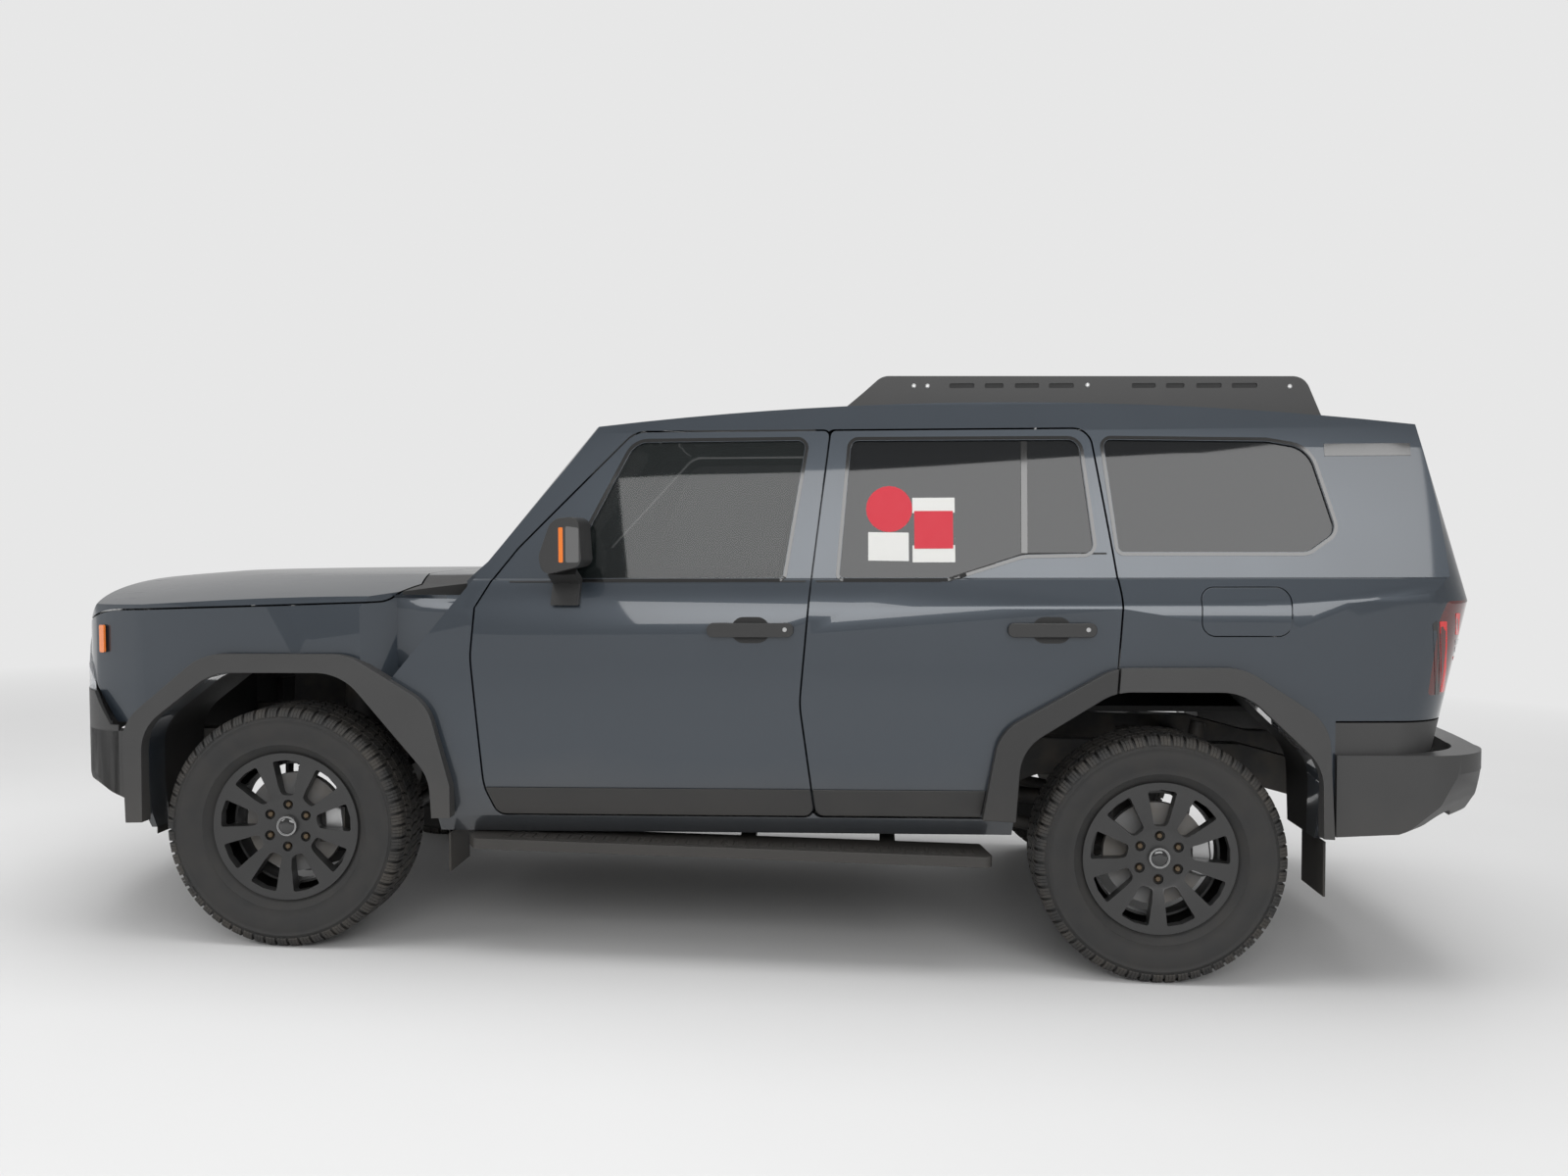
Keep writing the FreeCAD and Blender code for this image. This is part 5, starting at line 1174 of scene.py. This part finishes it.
def railPlate():
    # the rack's side plate with its slots
    tools = []
    for first, last in railShape["slots"]:
        middle = railShape["slotHeight"] + (first - railShape["slots"][0][0]) * railShape["slope"]
        half = railShape["slotHalf"]
        slot = prism(rounded(rectangle(last, middle - half, first, middle + half, 5), 3), "side", 600, 700)
        tools.append((slot, "DIFFERENCE"))
    plate = prism(rounded(railShape["outline"]), "side", railShape["inner"], railShape["outer"])
    return carved(plate, tools)


plate = railPlate()
plate.materials.clear()
soften(plate, 30)
placedBoth("rack_plate", plate, "rail", hullBodies)
backing = prism(railShape["backing"], "side", 622, 629.5)
placedBoth("rack_plate_back", backing, "matteBlack", hullBodies)


def boltHead(radius, height):
    loops = []
    for out, scale in ((-0.002, 1.0), (height * 0.6, 1.0), (height, 0.6)):
        loops.append([(a, out, b) for a, b in circle(radius * scale, 10)])
    return bar(loops)


def rowOf(name, unit, first, count, step, finish):
    # a row of small pieces along the left side, and its mirror image
    row = repeated(unit, finish, count, step=step)
    row.transform(Matrix.Translation(first))
    placed(name + "_left", row, "body")
    placed(name + "_right", mirroredMesh(row), "body")


for index, (length, height) in enumerate(railShape["bolts"]):
    spot = raked(length, railShape["outer"], height)
    rowOf(f"rack_bolt_{index}", boltHead(0.008, 0.003), spot, 1, (0, 0, 0), "silver")
stepPads = {"first": (-0.74, 0.935, 0.3985), "count": 40, "step": (0.0385, 0, 0), "half": (0.013, 0.030)}
corner = stepPads["half"]
padPlan = [(a * corner[0], b * corner[1]) for a, b in ((-1, -1), (1, -1), (1, 1), (-1, 1))]
padLevels = ((-0.002, 1.0), (0.0012, 1.0), (0.0022, 0.8))
stepPad = bar([[(a * scale, b * scale, up) for a, b in padPlan] for up, scale in padLevels])
rowOf("step_pads", stepPad, stepPads["first"], stepPads["count"], stepPads["step"], "matteBlack")
print("small parts ready")


padding = {
    "shrink": 0.965, "voxel": 0.016, "smooth": 8, "pressure": 4, "quality": 4, "frames": 15,
    "cap": 0.012, "fill": 0.7,
}


def padShape(name, island):
    # one island of a CAD node on its own, drawn in a little
    bm = bmesh.new()
    middle = middleOf(island)
    copies = {vert: bm.verts.new(middle + (vert.co - middle) * padding["shrink"]) for vert in island}
    for face in dict.fromkeys(face for vert in island for face in vert.link_faces):
        bm.faces.new([copies[vert] for vert in face.verts])
    bmesh.ops.recalc_face_normals(bm, faces=bm.faces)
    mesh = bpy.data.meshes.new(name)
    bm.to_mesh(mesh)
    bm.free()
    return mesh


def swollen(work):
    # the pad after a short cloth run, with each point's move held to a cap
    start = [vert.co.copy() for vert in work.data.vertices]
    cloth = work.modifiers.new("cloth", "CLOTH")
    cloth.settings.use_pressure = True
    cloth.settings.uniform_pressure_force = padding["pressure"]
    cloth.settings.effector_weights.gravity = 0
    cloth.settings.quality = padding["quality"]
    for frameNumber in range(1, padding["frames"] + 1):
        scene.frame_set(frameNumber)
    mesh = settled(work)
    work.modifiers.clear()
    for vert, old in zip(mesh.vertices, start):
        move = vert.co - old
        if move.length > padding["cap"]:
            vert.co = old + move.normalized() * padding["cap"]
    scene.frame_set(1)
    return mesh


def pillow(node, index, island):
    # a padded piece from one island of a CAD node
    work = link(bpy.data.objects.new("pad", padShape(f"{node}_pad_{index}", island)))
    grid = work.modifiers.new("grid", "REMESH")
    grid.mode = "VOXEL"
    grid.voxel_size = padding["voxel"]
    smooth = work.modifiers.new("smooth", "SMOOTH")
    smooth.iterations = padding["smooth"]
    work.data = settled(work)
    work.modifiers.clear()
    work.data = swollen(work)
    soft = work.modifiers.new("soft", "SUBSURF")
    soft.levels = 1
    soft.render_levels = 1
    result = settled(work)
    bpy.data.objects.remove(work)
    soften(result, 80)
    result.materials.clear()
    piece = placed(f"{node}_pad_{index}", result, "body", ["cloth"])
    return piece


for node in ("front_seats", "rear_bench"):
    shell = bmesh.new()
    shell.from_mesh(mergedCopy(node))
    pads = [pillow(node, index, island) for index, island in enumerate(islands(shell))]
    shell.free()
    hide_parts(node)
print("seats ready")


cameraPlace = {
    "spot": (-0.374, 5.243, 1.406),
    "yaw": math.radians(3.3),
    "pitch": math.radians(-2.34),
    "roll": math.radians(1.35),
    "lens": 30.9,
}


def makeCamera():
    turn = Matrix.Rotation(cameraPlace["yaw"], 3, "Z")
    right = turn @ Vector((-1, 0, 0))
    ahead = turn @ Vector((0, -1, 0))
    up = Vector((0, 0, 1))
    pitchCos, pitchSin = math.cos(cameraPlace["pitch"]), math.sin(cameraPlace["pitch"])
    ahead, up = ahead * pitchCos + up * pitchSin, up * pitchCos - ahead * pitchSin
    rollCos, rollSin = math.cos(cameraPlace["roll"]), math.sin(cameraPlace["roll"])
    right, up = right * rollCos + up * rollSin, up * rollCos - right * rollSin
    camera = bpy.data.cameras.new("photoCamera")
    camera.lens = cameraPlace["lens"]
    camera.sensor_width = 36
    camera.clip_start = 0.05
    camera.clip_end = 200
    obj = link(bpy.data.objects.new("photoCamera", camera))
    basis = Matrix((right, up, -ahead)).transposed()
    obj.matrix_world = Matrix.Translation(cameraPlace["spot"]) @ basis.to_4x4()
    scene.camera = obj


def areaLight(name, spot, aim, width, depth, power):
    lamp = bpy.data.lights.new(name, "AREA")
    lamp.shape = "RECTANGLE"
    lamp.size = width
    lamp.size_y = depth
    lamp.energy = power
    obj = link(bpy.data.objects.new(name, lamp))
    obj.location = spot
    obj.rotation_mode = "QUATERNION"
    obj.rotation_quaternion = (Vector(aim) - Vector(spot)).to_track_quat("-Z", "Y")


# each light's place, what it points at, its width and depth in metres, and its power
studioLights = {
    "overhead": ((0.0, 0.5, 6.5), (0, 0, 0), 8, 6, 330),
    "cameraSide": ((-1.5, 8.0, 4.0), (0, 0.5, 0.8), 7, 3, 260),
    "noseSide": ((7.0, 3.5, 3.5), (1.0, 0, 0.8), 4, 3, 120),
    "farSide": ((-3.0, -8.0, 5.0), (0, 0, 0.8), 6, 4, 160),
}


def makeStage():
    tones = {"floor": 0.66, "ambient": 0.55, "backdrop": 0.80, "mirrored": 0.42}
    sheet = Sheet("paleFloor")
    cloud = sheet.noise(0.7, 3.0)
    reach = sheet.add("ShaderNodeVectorMath", {"operation": "LENGTH"}, {0: sheet.place}, "Value")
    far = sheet.ramp(reach / 20.0, [(0.2, 0), (0.5, 1)])
    colour = sheet.blend(cloud, grey(tones["floor"] * 0.97), grey(tones["floor"] * 1.03))
    sheet.finish({
        "Base Color": sheet.blend(far, colour, grey(0.0)),
        "Roughness": 1.0,
        "Specular IOR Level": 0.0,
        "Emission Color": sheet.blend(far, grey(0.0), grey(tones["backdrop"])),
        "Emission Strength": 1.0,
    })
    corners = [(a * 40, b * 40, 0) for a, b in ((-1, -1), (1, -1), (1, 1), (-1, 1))]
    mesh = cleanMesh("studioFloor", corners, [(0, 1, 2, 3)])
    mesh.materials.append(sheet.material)
    link(bpy.data.objects.new("studioFloor", mesh))

    world = bpy.data.worlds.new("studioSky")
    scene.world = world
    world.use_nodes = True
    sky = Sheet("studioSky", world.node_tree)
    sky.tree.nodes.clear()

    def ray(kind):
        return sky.add("ShaderNodeLightPath", out=f"Is {kind} Ray")

    levels = {"Value": ray("Glossy"), "To Min": tones["ambient"], "To Max": tones["mirrored"]}
    lit = sky.add("ShaderNodeMapRange", None, levels)
    shown = sky.add("ShaderNodeMath", {"operation": "MAXIMUM"}, {0: ray("Camera"), 1: ray("Transmission")})
    levels = {"Value": shown, "To Min": lit, "To Max": tones["backdrop"]}
    strength = sky.add("ShaderNodeMapRange", None, levels)
    background = sky.add("ShaderNodeBackground", None, {"Color": (1, 1, 1, 1), "Strength": strength})
    sky.add("ShaderNodeOutputWorld", None, {"Surface": background})

    for name, values in studioLights.items():
        areaLight(name, *values)


makeCamera()
makeStage()
scene.view_settings.view_transform = "Standard"
print("stage ready")
